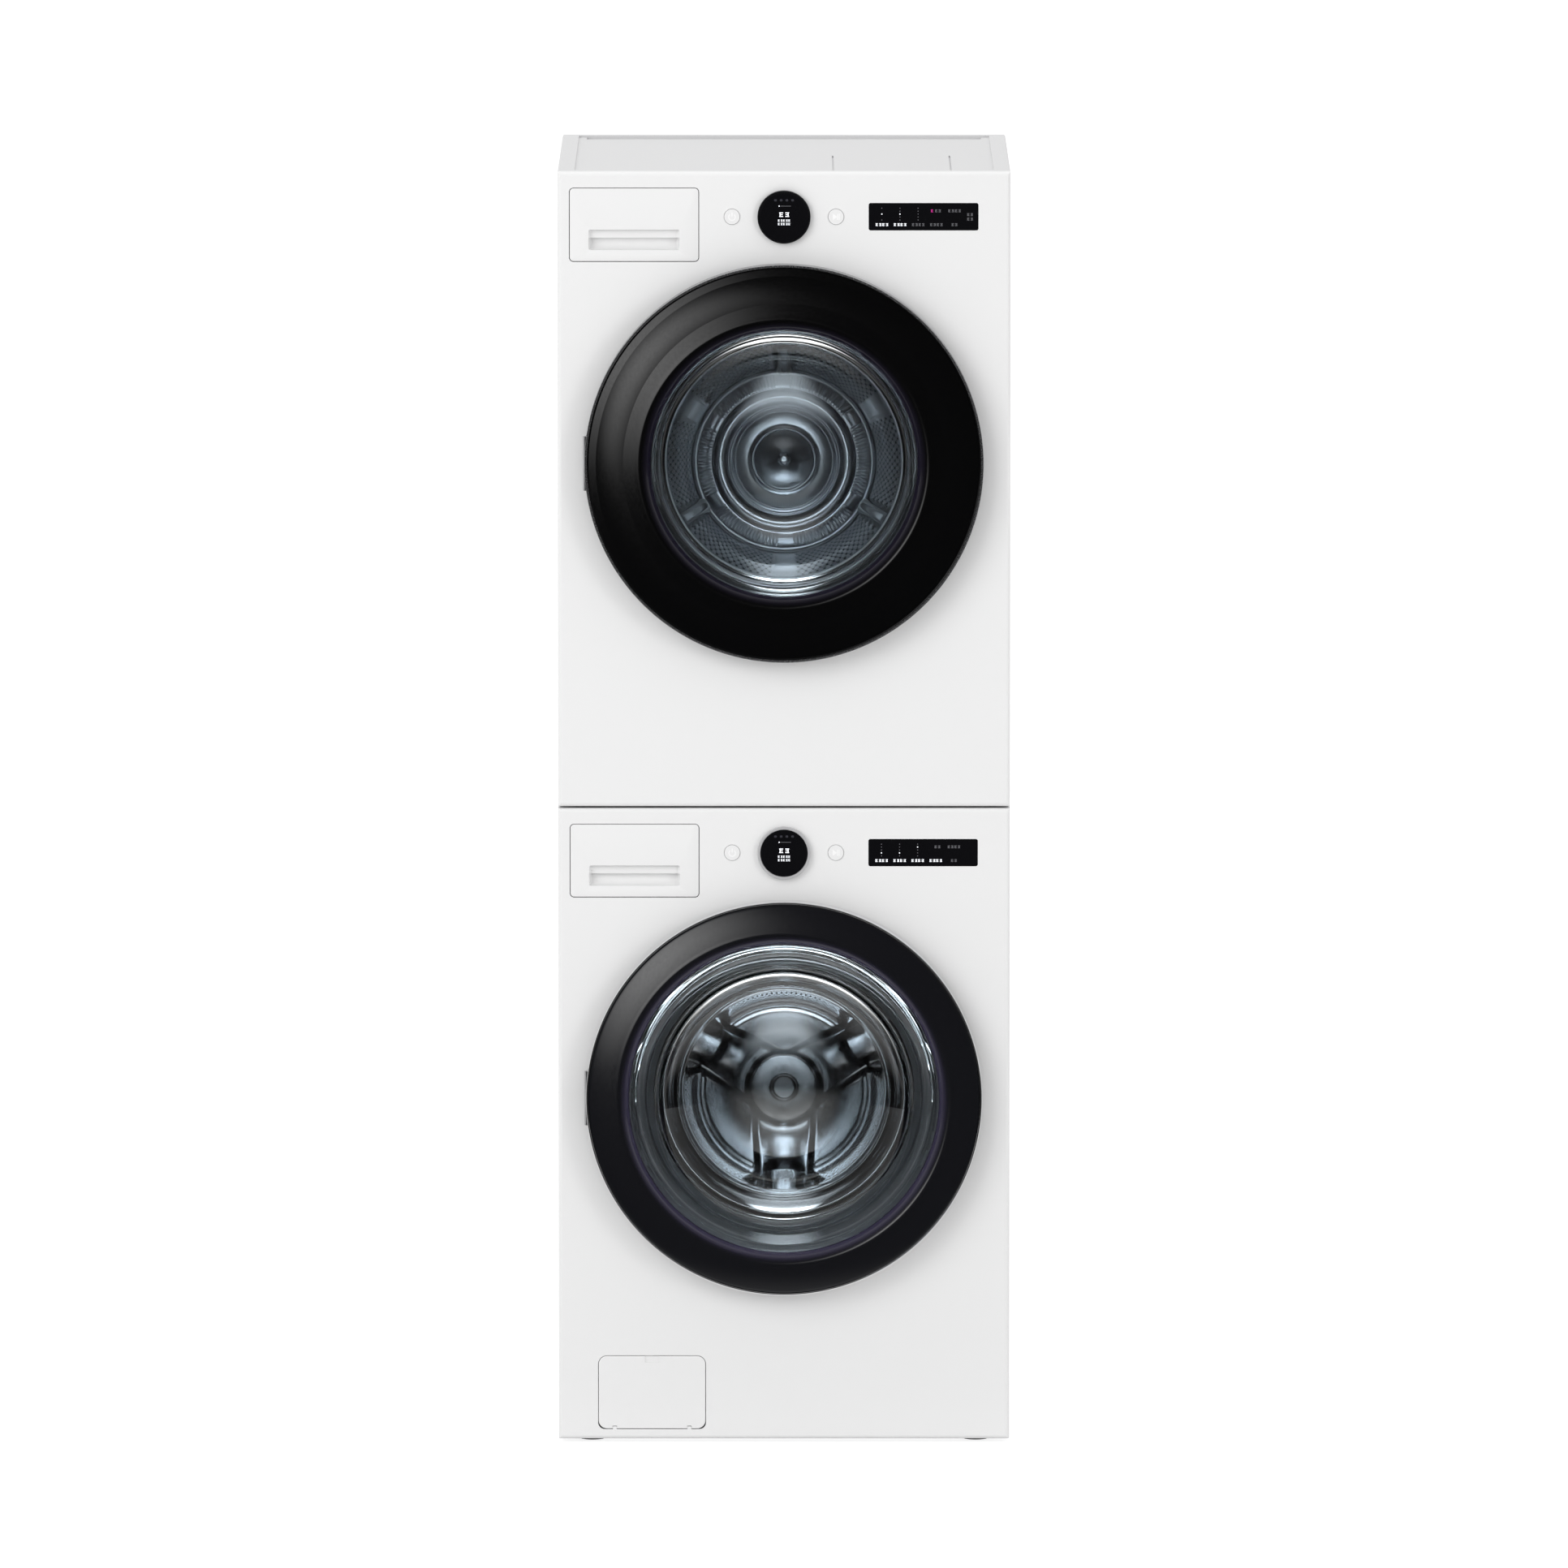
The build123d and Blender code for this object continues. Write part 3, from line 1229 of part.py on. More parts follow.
def dryer_drum_back():
    """Pressed steel back of the drum with rings, a centre boss and the rear axle."""
    end = dryer_drum_end - drum_sheet
    radius = dryer_drum_radius - drum_sheet
    wall = back_disc_wall
    outer, crest, inner, step, cone = (radius * share for share in back_ring_shares)
    face = end - wall
    low = face - back_ring_rise
    tip = face - boss_rise
    outline = [
        Line((radius, end), (radius, face)),
        Line((radius, face), (outer, face)),
        ThreePointArc((outer, face), (crest, low), (inner, low + back_ring_step)),
        Line((inner, low + back_ring_step), (step, face)),
        Line((step, face), (cone, face)),
        Line((cone, face), (drum_axle_radius, tip)),
        Line((drum_axle_radius, tip), (0, tip)),
        Line((0, tip), (0, end + drum_axle_length)),
        Line((0, end + drum_axle_length), (drum_axle_radius, end + drum_axle_length)),
        Line((drum_axle_radius, end + drum_axle_length), (drum_axle_radius, tip + wall)),
        Line((drum_axle_radius, tip + wall), (cone, end)),
        Line((cone, end), (step, end)),
        Line((step, end), (inner, low + back_ring_step + wall)),
        ThreePointArc((inner, low + back_ring_step + wall), (crest, low + wall), (outer, end)),
        Line((outer, end), (radius, end)),
    ]
    return leaned(turned(outline, dryer_door_z), dryer_lean, dryer_door_z)


def axle_point():
    """Middle of the drum's rear axle, in the stack's own frame."""
    reach = dryer_drum_end - front + brace_setback + brace_depth / 2
    lean = radians(dryer_lean)
    return front + reach * cos(lean), dryer_door_z - reach * sin(lean)


def dryer_rear_brace():
    """Channel across the cabinet that holds the drum's rear bearing."""
    y, z = axle_point()
    span = (z - brace_half_height, z + brace_half_height)
    brace = block((-inner_half, inner_half), (y - brace_depth / 2, y + brace_depth / 2), span)
    pocket_z = (span[0] + 4, span[1] - 4)
    for side in (-1, 1):
        across = sorted((side * 60, side * (inner_half - 20)))
        brace -= block(across, (y - brace_depth / 2 - 1, y + brace_depth / 2 - 3), pocket_z)
    bore_y = (front + dryer_drum_depth, rear)
    bore = rod(drum_axle_radius + running_gap, bore_y, 0, dryer_door_z)
    return brace - leaned(bore, dryer_lean, dryer_door_z)


def roller_place(side):
    reach = dryer_drum_radius + drive_gap + roller_radius
    turn = radians(roller_angle)
    return side * reach * sin(turn), dryer_door_z - reach * cos(turn)


def front_bulkhead():
    """Ring that closes the drum's mouth, with roller axles and the lint filter's pocket."""
    z = dryer_door_z
    start = bulkhead_start
    disc = turned([(door_opening_radius + 8, start), (bulkhead_radius, start),
                   (bulkhead_radius, start + bulkhead_wall), (bulkhead_collar, start + bulkhead_wall),
                   (bulkhead_collar, start + bulkhead_collar_length),
                   (bulkhead_collar - bulkhead_wall, start + bulkhead_collar_length),
                   (bulkhead_collar - bulkhead_wall, start + bulkhead_wall),
                   (door_opening_radius + 8, start + bulkhead_wall)], z)
    roller_y = roller_span()
    for side in (-1, 1):
        x, axle_z = roller_place(side)
        leg = block((x - 18, x + 18), (start, start + bulkhead_wall), (axle_z - 30, z - bulkhead_collar * 0.7))
        disc += leg - rod(bulkhead_collar, (start - 1, start + 9), 0, z)
        disc += rod(axle_radius, (start + 1, roller_y[1] + 8), x, axle_z)
    disc = leaned(disc, dryer_lean, z)
    low = z - filter_pocket_low
    high = z - filter_pocket_high
    half = filter_pocket_half
    disc -= block((-half, half), (filter_pocket_y[0], front + 90), (low, high + 1))
    wall = filter_pocket_wall
    pocket = block((-half, half), filter_pocket_y, (low, high))
    pocket -= block((wall - half, half - wall), (filter_pocket_y[0] + wall, filter_pocket_y[1] - wall),
                    (low + wall, high + 1))
    lean = radians(dryer_lean)
    stand_y = (cabinet_front + 2 * base_wall, cabinet_front + 2 * base_wall + bulkhead_wall)
    for side in (-1, 1):
        x, axle_z = roller_place(side)
        stand_top = z + (axle_z - z) * cos(lean) - (stand_y[0] - front) * sin(lean) + 2 * axle_radius
        disc += block((x - 15, x + 15), stand_y, (dryer_bottom + base_wall, stand_top))
    return group(disc, pocket)


def lint_filter():
    """Folded mesh cassette with a grip that stands in the pocket below the door."""
    half = filter_pocket_half - filter_pocket_wall - 0.6
    y = (filter_pocket_y[0] + filter_pocket_wall + 0.6, filter_pocket_y[1] - filter_pocket_wall - 0.6)
    low = dryer_door_z - filter_pocket_low + filter_pocket_wall
    high = dryer_door_z - filter_pocket_high + 1
    cassette = block((-half, half), y, (low, high))
    cassette -= block((8 - half, half - 8), (y[0] + 2, y[1] - 2), (low + 8, high + 1))
    for index in range(5):
        start = 12 - half + index * (2 * half - 20) / 5
        window = (start, start + (2 * half - 40) / 5)
        cassette -= block(window, (y[0] - 1, y[1] + 1), (low + 12, high - 14))
    return cassette


def roller_span():
    start = dryer_drum_start + 10
    return start, start + roller_width


def drum_roller(side):
    """Support roller under the drum's front edge."""
    x, z = roller_place(side)
    y = roller_span()
    roller = tube(roller_radius, axle_radius + running_gap, y, x, z)
    groove = tube(roller_radius - 6, axle_radius + 7, (y[1] - 4, y[1] + 1), x, z)
    return leaned(roller - groove, dryer_lean, dryer_door_z)


def pulley_centre():
    return pulley_x, dryer_door_z + pulley_z


def belt_outline(extra):
    """Loop round the drum and the motor pulley, grown by a thickness."""
    drum = Circle(dryer_drum_radius + extra)
    pulley = Pos(pulley_x, pulley_z) * Circle(pulley_radius + extra)
    return make_hull(drum.edges() + pulley.edges())


def dryer_belt():
    """Ribbed drive belt; it circulates in its own loop."""
    loop = belt_outline(drive_gap + belt_thickness) - belt_outline(drive_gap)
    band = extrude(Plane.XZ * loop, amount=belt_width, dir=(0, 1, 0))
    return leaned(Pos(0, belt_y[0], dryer_door_z) * band, dryer_lean, dryer_door_z)


def tangent_turn():
    """Direction from the drum's centre square to the belt's lower straight run."""
    distance = sqrt(pulley_x ** 2 + pulley_z ** 2)
    along = atan2(pulley_z, pulley_x)
    return along - (pi / 2 - atan2(dryer_drum_radius - pulley_radius, distance * slant()))


def slant():
    distance = sqrt(pulley_x ** 2 + pulley_z ** 2)
    share = (dryer_drum_radius - pulley_radius) / distance
    return sqrt(1 - share ** 2)


def idler_place():
    """Idler centre: half way along the lower run, outside the belt."""
    turn = tangent_turn()
    drum_point = (dryer_drum_radius * cos(turn), dryer_drum_radius * sin(turn))
    pulley_point = (pulley_x + pulley_radius * cos(turn), pulley_z + pulley_radius * sin(turn))
    out = 2 * drive_gap + belt_thickness + idler_radius
    x = (drum_point[0] + pulley_point[0]) / 2 + out * cos(turn)
    z = (drum_point[1] + pulley_point[1]) / 2 + out * sin(turn)
    return x, dryer_door_z + z


def motor_span():
    start = belt_y[1] + 12
    return start, start + motor_body_length


def dryer_idler():
    x, z = idler_place()
    wheel = tube(idler_radius, axle_radius + running_gap, (belt_y[0] - 1, belt_y[1] + 1), x, z)
    return leaned(wheel, dryer_lean, dryer_door_z)


def dryer_motor_shaft():
    """Shaft with the belt pulley at the front and the blower wheel behind."""
    x, z = pulley_centre()
    y = motor_span()
    shaft = rod(axle_radius, (belt_y[0] - 2, y[1] + blower_rear + 2), x, z)
    shaft += rod(pulley_radius, belt_y, x, z)
    shaft += rod(pulley_radius + 4, (belt_y[1], belt_y[1] + 2), x, z)
    hub_y = (y[1] + blower_front, y[1] + blower_rear)
    shaft += rod(blower_hub_radius, hub_y, x, z) + rod(blower_radius, (hub_y[1] - 2, hub_y[1]), x, z)
    for turn in range(0, 360, 30):
        blade = block((-1, 1), hub_y, (blower_hub_radius - 2, blower_radius))
        shaft += Pos(x, 0, z) * Rot(0, turn, 0) * blade
    return leaned(shaft, dryer_lean, dryer_door_z)


def dryer_motor():
    """Motor body on its stand, with the arm and axle of the belt idler."""
    x, z = pulley_centre()
    y = motor_span()
    body = rod(motor_radius, y, x, z)
    body = fillet(body.edges().filter_by(GeomType.CIRCLE), 8)
    body -= rod(axle_radius + running_gap, (y[0] - 1, y[1] + 1), x, z)
    idler_x, idler_z = idler_place()
    body += rod(axle_radius, (belt_y[0] - 4, y[0] - 1), idler_x, idler_z)
    arm = block((idler_x - 10, x - motor_radius * 0.4), (belt_y[1] + 5, y[0] + 4), (idler_z - 9, idler_z + 9))
    arm_end = block((x - motor_radius * 0.7, x - motor_radius * 0.4), (belt_y[1] + 5, y[0] + 12),
                    (idler_z - 9, idler_z + 9))
    body = leaned(body + arm + arm_end, dryer_lean, dryer_door_z)
    stand_top = z - (y[0] - front) * sin(radians(dryer_lean)) - motor_radius * 0.6
    shift = pulley_z * sin(radians(dryer_lean))
    stand_y = (y[0] + stand_inset + shift, y[1] - stand_inset + shift)
    stand = block((x - stand_half, x + stand_half), stand_y, (dryer_bottom + base_wall, stand_top))
    core = leaned(rod(motor_radius - 3, y, x, z), dryer_lean, dryer_door_z)
    return body + (stand - core)


def dryer_compressor():
    """Sealed compressor can on three feet with its pipe stubs."""
    floor = dryer_bottom + base_wall
    can = post(compressor_radius, (floor + 12, floor + compressor_height), compressor_x, compressor_y)
    can = fillet(can.edges().filter_by(GeomType.CIRCLE).sort_by(Axis.Z)[-1:], can_dome)
    for turn in (30, 150, 270):
        x = compressor_x + (compressor_radius + 6) * cos(radians(turn))
        y = compressor_y + (compressor_radius + 6) * sin(radians(turn))
        can += post(11, (floor, floor + 16), x, y)
        middle_x = (x + compressor_x) / 2
        middle_y = (y + compressor_y) / 2
        can += Pos(middle_x, middle_y, floor + 14) * Rot(0, 0, turn) * Box(compressor_radius + 6, 20, 4)
    can += post(6, (floor + compressor_height - 2, floor + compressor_height + 14), compressor_x, compressor_y)
    return can


def heat_exchanger(y):
    """Finned block with end plates on its own stand."""
    floor = dryer_bottom + base_wall
    z = (floor + exchanger_rise, floor + exchanger_rise + exchanger_height)
    core = block(exchanger_x, y, z)
    pitch = (exchanger_x[1] - exchanger_x[0] - 12) / fin_count
    for index in range(fin_count):
        start = exchanger_x[0] + 6 + index * pitch + 2
        core -= block((start, start + pitch - 4), (y[0] - 1, y[1] + 1), (z[0] + 12, z[1] + 1))
    for x in (exchanger_x[0] + 20, exchanger_x[1] - 20):
        core += block((x - 12, x + 12), y, (floor, z[0] + 1))
    return core


def heat_exchangers():
    return group(heat_exchanger(evaporator_y), heat_exchanger(condenser_y))


# --- Write every piece -------------------------------------------------------------------------------
os.makedirs("parts", exist_ok=True)

pieces = {
    "washer_cabinet": washer_cabinet(),
    "base_pans": group(washer_base(), base_pan(dryer_bottom)),
    "top_plates": group(top_plate(washer_top), dryer_top()),
    "washer_feet": washer_feet(),
    "washer_front_panel": washer_front_panel(),
    "washer_gasket": washer_gasket(),
    "washer_tub": washer_tub(),
    "washer_drum": washer_drum(),
    "washer_drum_lifters": washer_drum_lifters(),
    "washer_spider": washer_spider(),
    "washer_stator": washer_stator(),
    "washer_rotor": washer_rotor(),
    "washer_counterweight": washer_counterweight(),
    "washer_damper_cylinders": washer_damper_cylinders(),
    "washer_damper_rods": washer_damper_rods(),
    "washer_springs": washer_springs(),
    "washer_drain_pump": drain_pump(),
    "washer_pump_filter": pump_filter(),
    "washer_filter_cover": filter_cover(),
    "washer_drawer_front": drawer_front(washer_top),
    "washer_detergent_tray": detergent_tray(),
    "washer_dial_ring": dial_ring(washer_top, dial_rim_washer),
    "washer_power_button": push_button(washer_top, -1),
    "washer_start_button": push_button(washer_top, 1),
    "washer_door_frame": door_frame(washer_door_radius, washer_glass_radius, washer_lip, washer_door_z),
    "washer_door_ring": door_ring(washer_door_radius, washer_door_z),
    "washer_door_glass": washer_glass(),
    "washer_door_inner": door_inner(washer_door_radius, washer_glass_radius, washer_waist_radius,
                                    washer_door_z),
    "washer_door_fittings": door_fittings(washer_door_radius, washer_door_z),
    "dryer_cabinet": dryer_cabinet(),
    "dryer_front_panel": dryer_front_panel(),
    "dryer_front_bulkhead": front_bulkhead(),
    "dryer_lint_filter": lint_filter(),
    "dryer_drum": dryer_drum(),
    "dryer_drum_back": dryer_drum_back(),
    "dryer_rear_brace": dryer_rear_brace(),
    "dryer_belt": dryer_belt(),
    "dryer_motor": dryer_motor(),
    "dryer_motor_shaft": dryer_motor_shaft(),
    "dryer_idler": dryer_idler(),
    "dryer_roller_left": drum_roller(-1),
    "dryer_roller_right": drum_roller(1),
    "dryer_compressor": dryer_compressor(),
    "dryer_heat_exchangers": heat_exchangers(),
    "dryer_tank_front": drawer_front(dryer_top_z),
    "dryer_tank": condensate_tank(),
    "dryer_dial_ring": dial_ring(dryer_top_z, dial_rim_dryer),
    "dryer_power_button": push_button(dryer_top_z, -1),
    "dryer_start_button": push_button(dryer_top_z, 1),
    "dryer_door_frame": door_frame(dryer_door_radius, dryer_glass_radius, dryer_lip, dryer_door_z),
    "dryer_door_ring": door_ring(dryer_door_radius, dryer_door_z),
    "dryer_door_window": dryer_window(),
    "dryer_door_inner": door_inner(dryer_door_radius, dryer_glass_radius, dryer_waist_radius,
                                   dryer_door_z),
    "dryer_door_fittings": door_fittings(dryer_door_radius, dryer_door_z),
    "rear_panels": group(rear_panel(washer_bottom, washer_top, 0), rear_panel(dryer_bottom, dryer_top_z, 8)),
    "display_windows": display_windows(),
    "door_hardware": door_hardware(),
    "drawer_housings": drawer_housings(),
    "rear_fittings": rear_fittings(),
    "stacking_hardware": stacking_hardware(),
}

for name, shape in pieces.items():
    save(name, shape)
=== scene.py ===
import math

import bmesh
import bpy
from mathutils import Matrix, Vector


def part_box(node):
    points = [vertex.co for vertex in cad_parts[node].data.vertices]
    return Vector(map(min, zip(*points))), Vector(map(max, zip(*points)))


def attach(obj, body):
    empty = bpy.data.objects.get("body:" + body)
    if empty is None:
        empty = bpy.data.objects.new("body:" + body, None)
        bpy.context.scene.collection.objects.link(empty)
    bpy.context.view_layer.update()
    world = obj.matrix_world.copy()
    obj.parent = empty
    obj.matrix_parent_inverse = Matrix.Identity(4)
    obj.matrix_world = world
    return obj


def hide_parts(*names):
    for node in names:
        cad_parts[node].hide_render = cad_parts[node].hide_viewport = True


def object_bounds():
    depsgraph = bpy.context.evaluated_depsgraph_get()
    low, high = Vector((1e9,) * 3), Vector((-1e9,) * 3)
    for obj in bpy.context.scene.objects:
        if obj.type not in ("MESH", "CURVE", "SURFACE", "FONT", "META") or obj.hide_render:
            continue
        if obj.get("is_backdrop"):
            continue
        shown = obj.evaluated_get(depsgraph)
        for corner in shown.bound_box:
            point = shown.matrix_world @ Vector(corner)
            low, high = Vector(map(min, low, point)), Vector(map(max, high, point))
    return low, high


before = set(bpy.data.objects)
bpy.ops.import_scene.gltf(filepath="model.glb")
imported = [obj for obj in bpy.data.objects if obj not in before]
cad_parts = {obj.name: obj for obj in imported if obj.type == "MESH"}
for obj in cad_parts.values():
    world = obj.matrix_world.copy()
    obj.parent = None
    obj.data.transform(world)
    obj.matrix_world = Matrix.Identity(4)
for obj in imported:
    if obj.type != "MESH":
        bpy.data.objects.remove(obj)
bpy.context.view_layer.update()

# --- The studio -------------------------------------------------------------------------
# A pale floor that runs out to the horizon and a white surround. Soft boxes stand high on
# the left, on the right and above; the room behind the camera is dim, and glass picks up
# one narrow glow overhead.
camera_data = bpy.data.cameras.new("studio_camera")
camera_data.sensor_width = 36
camera_data.lens = 447.5
camera_data.clip_end = 400
camera = bpy.data.objects.new("studio_camera", camera_data)
bpy.context.collection.objects.link(camera)
camera.location = (0, -30.37, 4.34)
aim = Vector((0, -0.367, 1.03)) - camera.location
camera.rotation_euler = aim.to_track_quat("-Z", "Y").to_euler()
bpy.context.scene.camera = camera
bpy.context.scene.view_settings.view_transform = "Standard"


def soft_box(name, place, target, width, height, watts):
    lamp = bpy.data.lights.new(name, "AREA")
    lamp.shape = "RECTANGLE"
    lamp.size = width
    lamp.size_y = height
    lamp.energy = watts
    box = bpy.data.objects.new(name, lamp)
    bpy.context.collection.objects.link(box)
    box.location = place
    box.rotation_euler = (Vector(target) - Vector(place)).to_track_quat("-Z", "Y").to_euler()
    box.visible_camera = False
    box.visible_glossy = False
    box.visible_transmission = False
    return box


def number(tree, operation, first, second=None, third=None):
    """One step of arithmetic in a node tree, from values or sockets."""
    step = tree.nodes.new("ShaderNodeMath")
    step.operation = operation
    for place, value in enumerate((first, second, third)):
        if value is None:
            continue
        if isinstance(value, (int, float)):
            step.inputs[place].default_value = value
        else:
            tree.links.new(value, step.inputs[place])
    return step.outputs[0]


def ramp(tree, value, start, end, low=0.0, high=1.0):
    """Soft step of a socket from low at start to high at end."""
    step = tree.nodes.new("ShaderNodeMapRange")
    step.interpolation_type = "SMOOTHSTEP"
    step.inputs["From Min"].default_value = min(start, end)
    step.inputs["From Max"].default_value = max(start, end)
    step.inputs["To Min"].default_value = low if start < end else high
    step.inputs["To Max"].default_value = high if start < end else low
    tree.links.new(value, step.inputs["Value"])
    return step.outputs[0]


soft_box("key_soft_box", (-4.6, -6.2, 4.4), (-0.1, -0.4, 1.2), 5.0, 5.0, 202)
soft_box("fill_soft_box", (5.0, -6.0, 2.6), (0, -0.4, 1.0), 2.0, 3.0, 70)
soft_box("top_soft_box", (0, 1.2, 6.0), (0, 0.1, 1.9), 3.0, 2.0, 30)

world = bpy.data.worlds.new("white_surround")
bpy.context.scene.world = world
world.use_nodes = True
world.cycles.sampling_method = "NONE"
tree = world.node_tree
tree.nodes.clear()
path = tree.nodes.new("ShaderNodeLightPath")
where = tree.nodes.new("ShaderNodeTexCoord")
split = tree.nodes.new("ShaderNodeSeparateXYZ")
tree.links.new(where.outputs["Generated"], split.inputs[0])
room = ramp(tree, split.outputs["Y"], -0.8, 0.2, 0.03, 1.0)
sideways = number(tree, "ABSOLUTE", split.outputs["X"])
narrow = ramp(tree, sideways, 0.32, 0.05)
overhead = number(tree, "MULTIPLY", ramp(tree, split.outputs["Z"], 0.02, 0.20), narrow)
behind = ramp(tree, split.outputs["Y"], -0.15, 0.3, 0.035, 0.9)
in_glass = number(tree, "MULTIPLY_ADD", overhead, 8.0, behind)
surround = 0.78
level = number(tree, "MULTIPLY_ADD", number(tree, "SUBTRACT", room, surround), path.outputs["Is Glossy Ray"],
               surround)
glass_share = number(tree, "MULTIPLY", number(tree, "SUBTRACT", in_glass, level),
                     path.outputs["Is Transmission Ray"])
level = number(tree, "ADD", level, glass_share)
camera_share = number(tree, "MULTIPLY", number(tree, "SUBTRACT", 1.0, level), path.outputs["Is Camera Ray"])
level = number(tree, "ADD", level, camera_share)
cool = tree.nodes.new("ShaderNodeMix")
cool.data_type = "RGBA"
cool.inputs["A"].default_value = (1, 1, 1, 1)
cool.inputs["B"].default_value = (0.80, 0.91, 1, 1)
tree.links.new(path.outputs["Is Transmission Ray"], cool.inputs["Factor"])
sky = tree.nodes.new("ShaderNodeBackground")
tree.links.new(cool.outputs["Result"], sky.inputs["Color"])
tree.links.new(level, sky.inputs["Strength"])
out = tree.nodes.new("ShaderNodeOutputWorld")
tree.links.new(sky.outputs[0], out.inputs[0])

floor_mesh = bpy.data.meshes.new("studio_floor")
floor_mesh.from_pydata(
    [(-90, -90, 0), (90, -90, 0), (90, 90, 0), (-90, 90, 0)], [], [(0, 1, 2, 3)]
)
floor = bpy.data.objects.new("studio_floor", floor_mesh)
bpy.context.collection.objects.link(floor)
floor_paint = bpy.data.materials.new("pale_floor")
floor_paint.use_nodes = True
tree = floor_paint.node_tree
tree.nodes.clear()
path = tree.nodes.new("ShaderNodeLightPath")
grain = tree.nodes.new("ShaderNodeTexNoise")
grain.inputs["Scale"].default_value = 30
plain = tree.nodes.new("ShaderNodeBsdfDiffuse")
tree.links.new(ramp(tree, grain.outputs[0], 0.0, 1.0, 0.78, 0.80), plain.inputs["Color"])
shaded = tree.nodes.new("ShaderNodeBsdfDiffuse")
shaded.inputs["Color"].default_value = (0.46, 0.46, 0.46, 1)
glow = tree.nodes.new("ShaderNodeEmission")
glow.inputs["Strength"].default_value = 0.77
white = tree.nodes.new("ShaderNodeAddShader")
tree.links.new(shaded.outputs[0], white.inputs[0])
tree.links.new(glow.outputs[0], white.inputs[1])
place = tree.nodes.new("ShaderNodeTexCoord")
split = tree.nodes.new("ShaderNodeSeparateXYZ")
tree.links.new(place.outputs["Object"], split.inputs[0])
far = ramp(tree, split.outputs["Y"], -0.95, -0.5, 0.035, 1.0)
beside = number(tree, "DIVIDE", number(tree, "ABSOLUTE", split.outputs["X"]),
                number(tree, "ADD", number(tree, "ABSOLUTE", split.outputs["Y"]), 0.3))
near = number(tree, "MULTIPLY", ramp(tree, split.outputs["Y"], -5.0, -2.0), ramp(tree, beside, 0.45, 0.05))
strip = number(tree, "MULTIPLY", near, path.outputs["Is Transmission Ray"])
mirrored = tree.nodes.new("ShaderNodeEmission")
strip_level = 2.4
tree.links.new(number(tree, "MINIMUM", number(tree, "MULTIPLY_ADD", strip, strip_level, far), strip_level),
               mirrored.inputs["Strength"])
choose = tree.nodes.new("ShaderNodeMixShader")
tree.links.new(path.outputs["Is Camera Ray"], choose.inputs[0])
tree.links.new(plain.outputs[0], choose.inputs[1])
tree.links.new(white.outputs[0], choose.inputs[2])
shine = tree.nodes.new("ShaderNodeMixShader")
tree.links.new(number(tree, "MAXIMUM", path.outputs["Is Glossy Ray"], path.outputs["Is Transmission Ray"]),
               shine.inputs[0])
tree.links.new(choose.outputs[0], shine.inputs[1])
tree.links.new(mirrored.outputs[0], shine.inputs[2])
out = tree.nodes.new("ShaderNodeOutputMaterial")
tree.links.new(shine.outputs[0], out.inputs[0])
floor_mesh.materials.append(floor_paint)
floor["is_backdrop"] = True

# --- Cabinets ---------------------------------------------------------------------------
# Two wrappers of 0.8 mm sheet steel, folded round the sides and powder coated white. The
# coat has a fine orange peel, and its tone drifts a little over the large flat sides.
def new_group(name, inputs, outputs):
    tree = bpy.data.node_groups.new(name, "ShaderNodeTree")
    for label, kind, value in inputs:
        socket = tree.interface.new_socket(name=label, in_out="INPUT", socket_type=kind)
        socket.default_value = value
    for label, kind in outputs:
        tree.interface.new_socket(name=label, in_out="OUTPUT", socket_type=kind)
    return tree, tree.nodes.new("NodeGroupInput"), tree.nodes.new("NodeGroupOutput")


paint_skin, given, made = new_group(
    "paint_skin",
    [
        ("Colour", "NodeSocketColor", (0.86, 0.86, 0.86, 1)),
        ("Drift", "NodeSocketFloat", 0.02),
        ("Roughness", "NodeSocketFloat", 0.4),
        ("Peel Scale", "NodeSocketFloat", 900.0),
    ],
    [("Colour", "NodeSocketColor"), ("Roughness", "NodeSocketFloat"), ("Height", "NodeSocketFloat")],
)
spot = paint_skin.nodes.new("ShaderNodeTexCoord")
wide = paint_skin.nodes.new("ShaderNodeTexNoise")
wide.inputs["Scale"].default_value = 2.4
wide.inputs["Detail"].default_value = 2
paint_skin.links.new(spot.outputs["Object"], wide.inputs["Vector"])
peel = paint_skin.nodes.new("ShaderNodeTexNoise")
peel.inputs["Detail"].default_value = 1
paint_skin.links.new(spot.outputs["Object"], peel.inputs["Vector"])
paint_skin.links.new(given.outputs["Peel Scale"], peel.inputs["Scale"])
drift = number(paint_skin, "SUBTRACT", wide.outputs[0], 0.5)
drift = number(paint_skin, "MULTIPLY_ADD", drift, given.outputs["Drift"], 1.0)
toned = paint_skin.nodes.new("ShaderNodeVectorMath")
toned.operation = "SCALE"
paint_skin.links.new(given.outputs["Colour"], toned.inputs[0])
paint_skin.links.new(drift, toned.inputs["Scale"])
paint_skin.links.new(toned.outputs[0], made.inputs["Colour"])
rough = number(paint_skin, "SUBTRACT", peel.outputs[0], 0.5)
rough = number(paint_skin, "MULTIPLY_ADD", rough, 0.12, given.outputs["Roughness"])
paint_skin.links.new(rough, made.inputs["Roughness"])
paint_skin.links.new(peel.outputs[0], made.inputs["Height"])


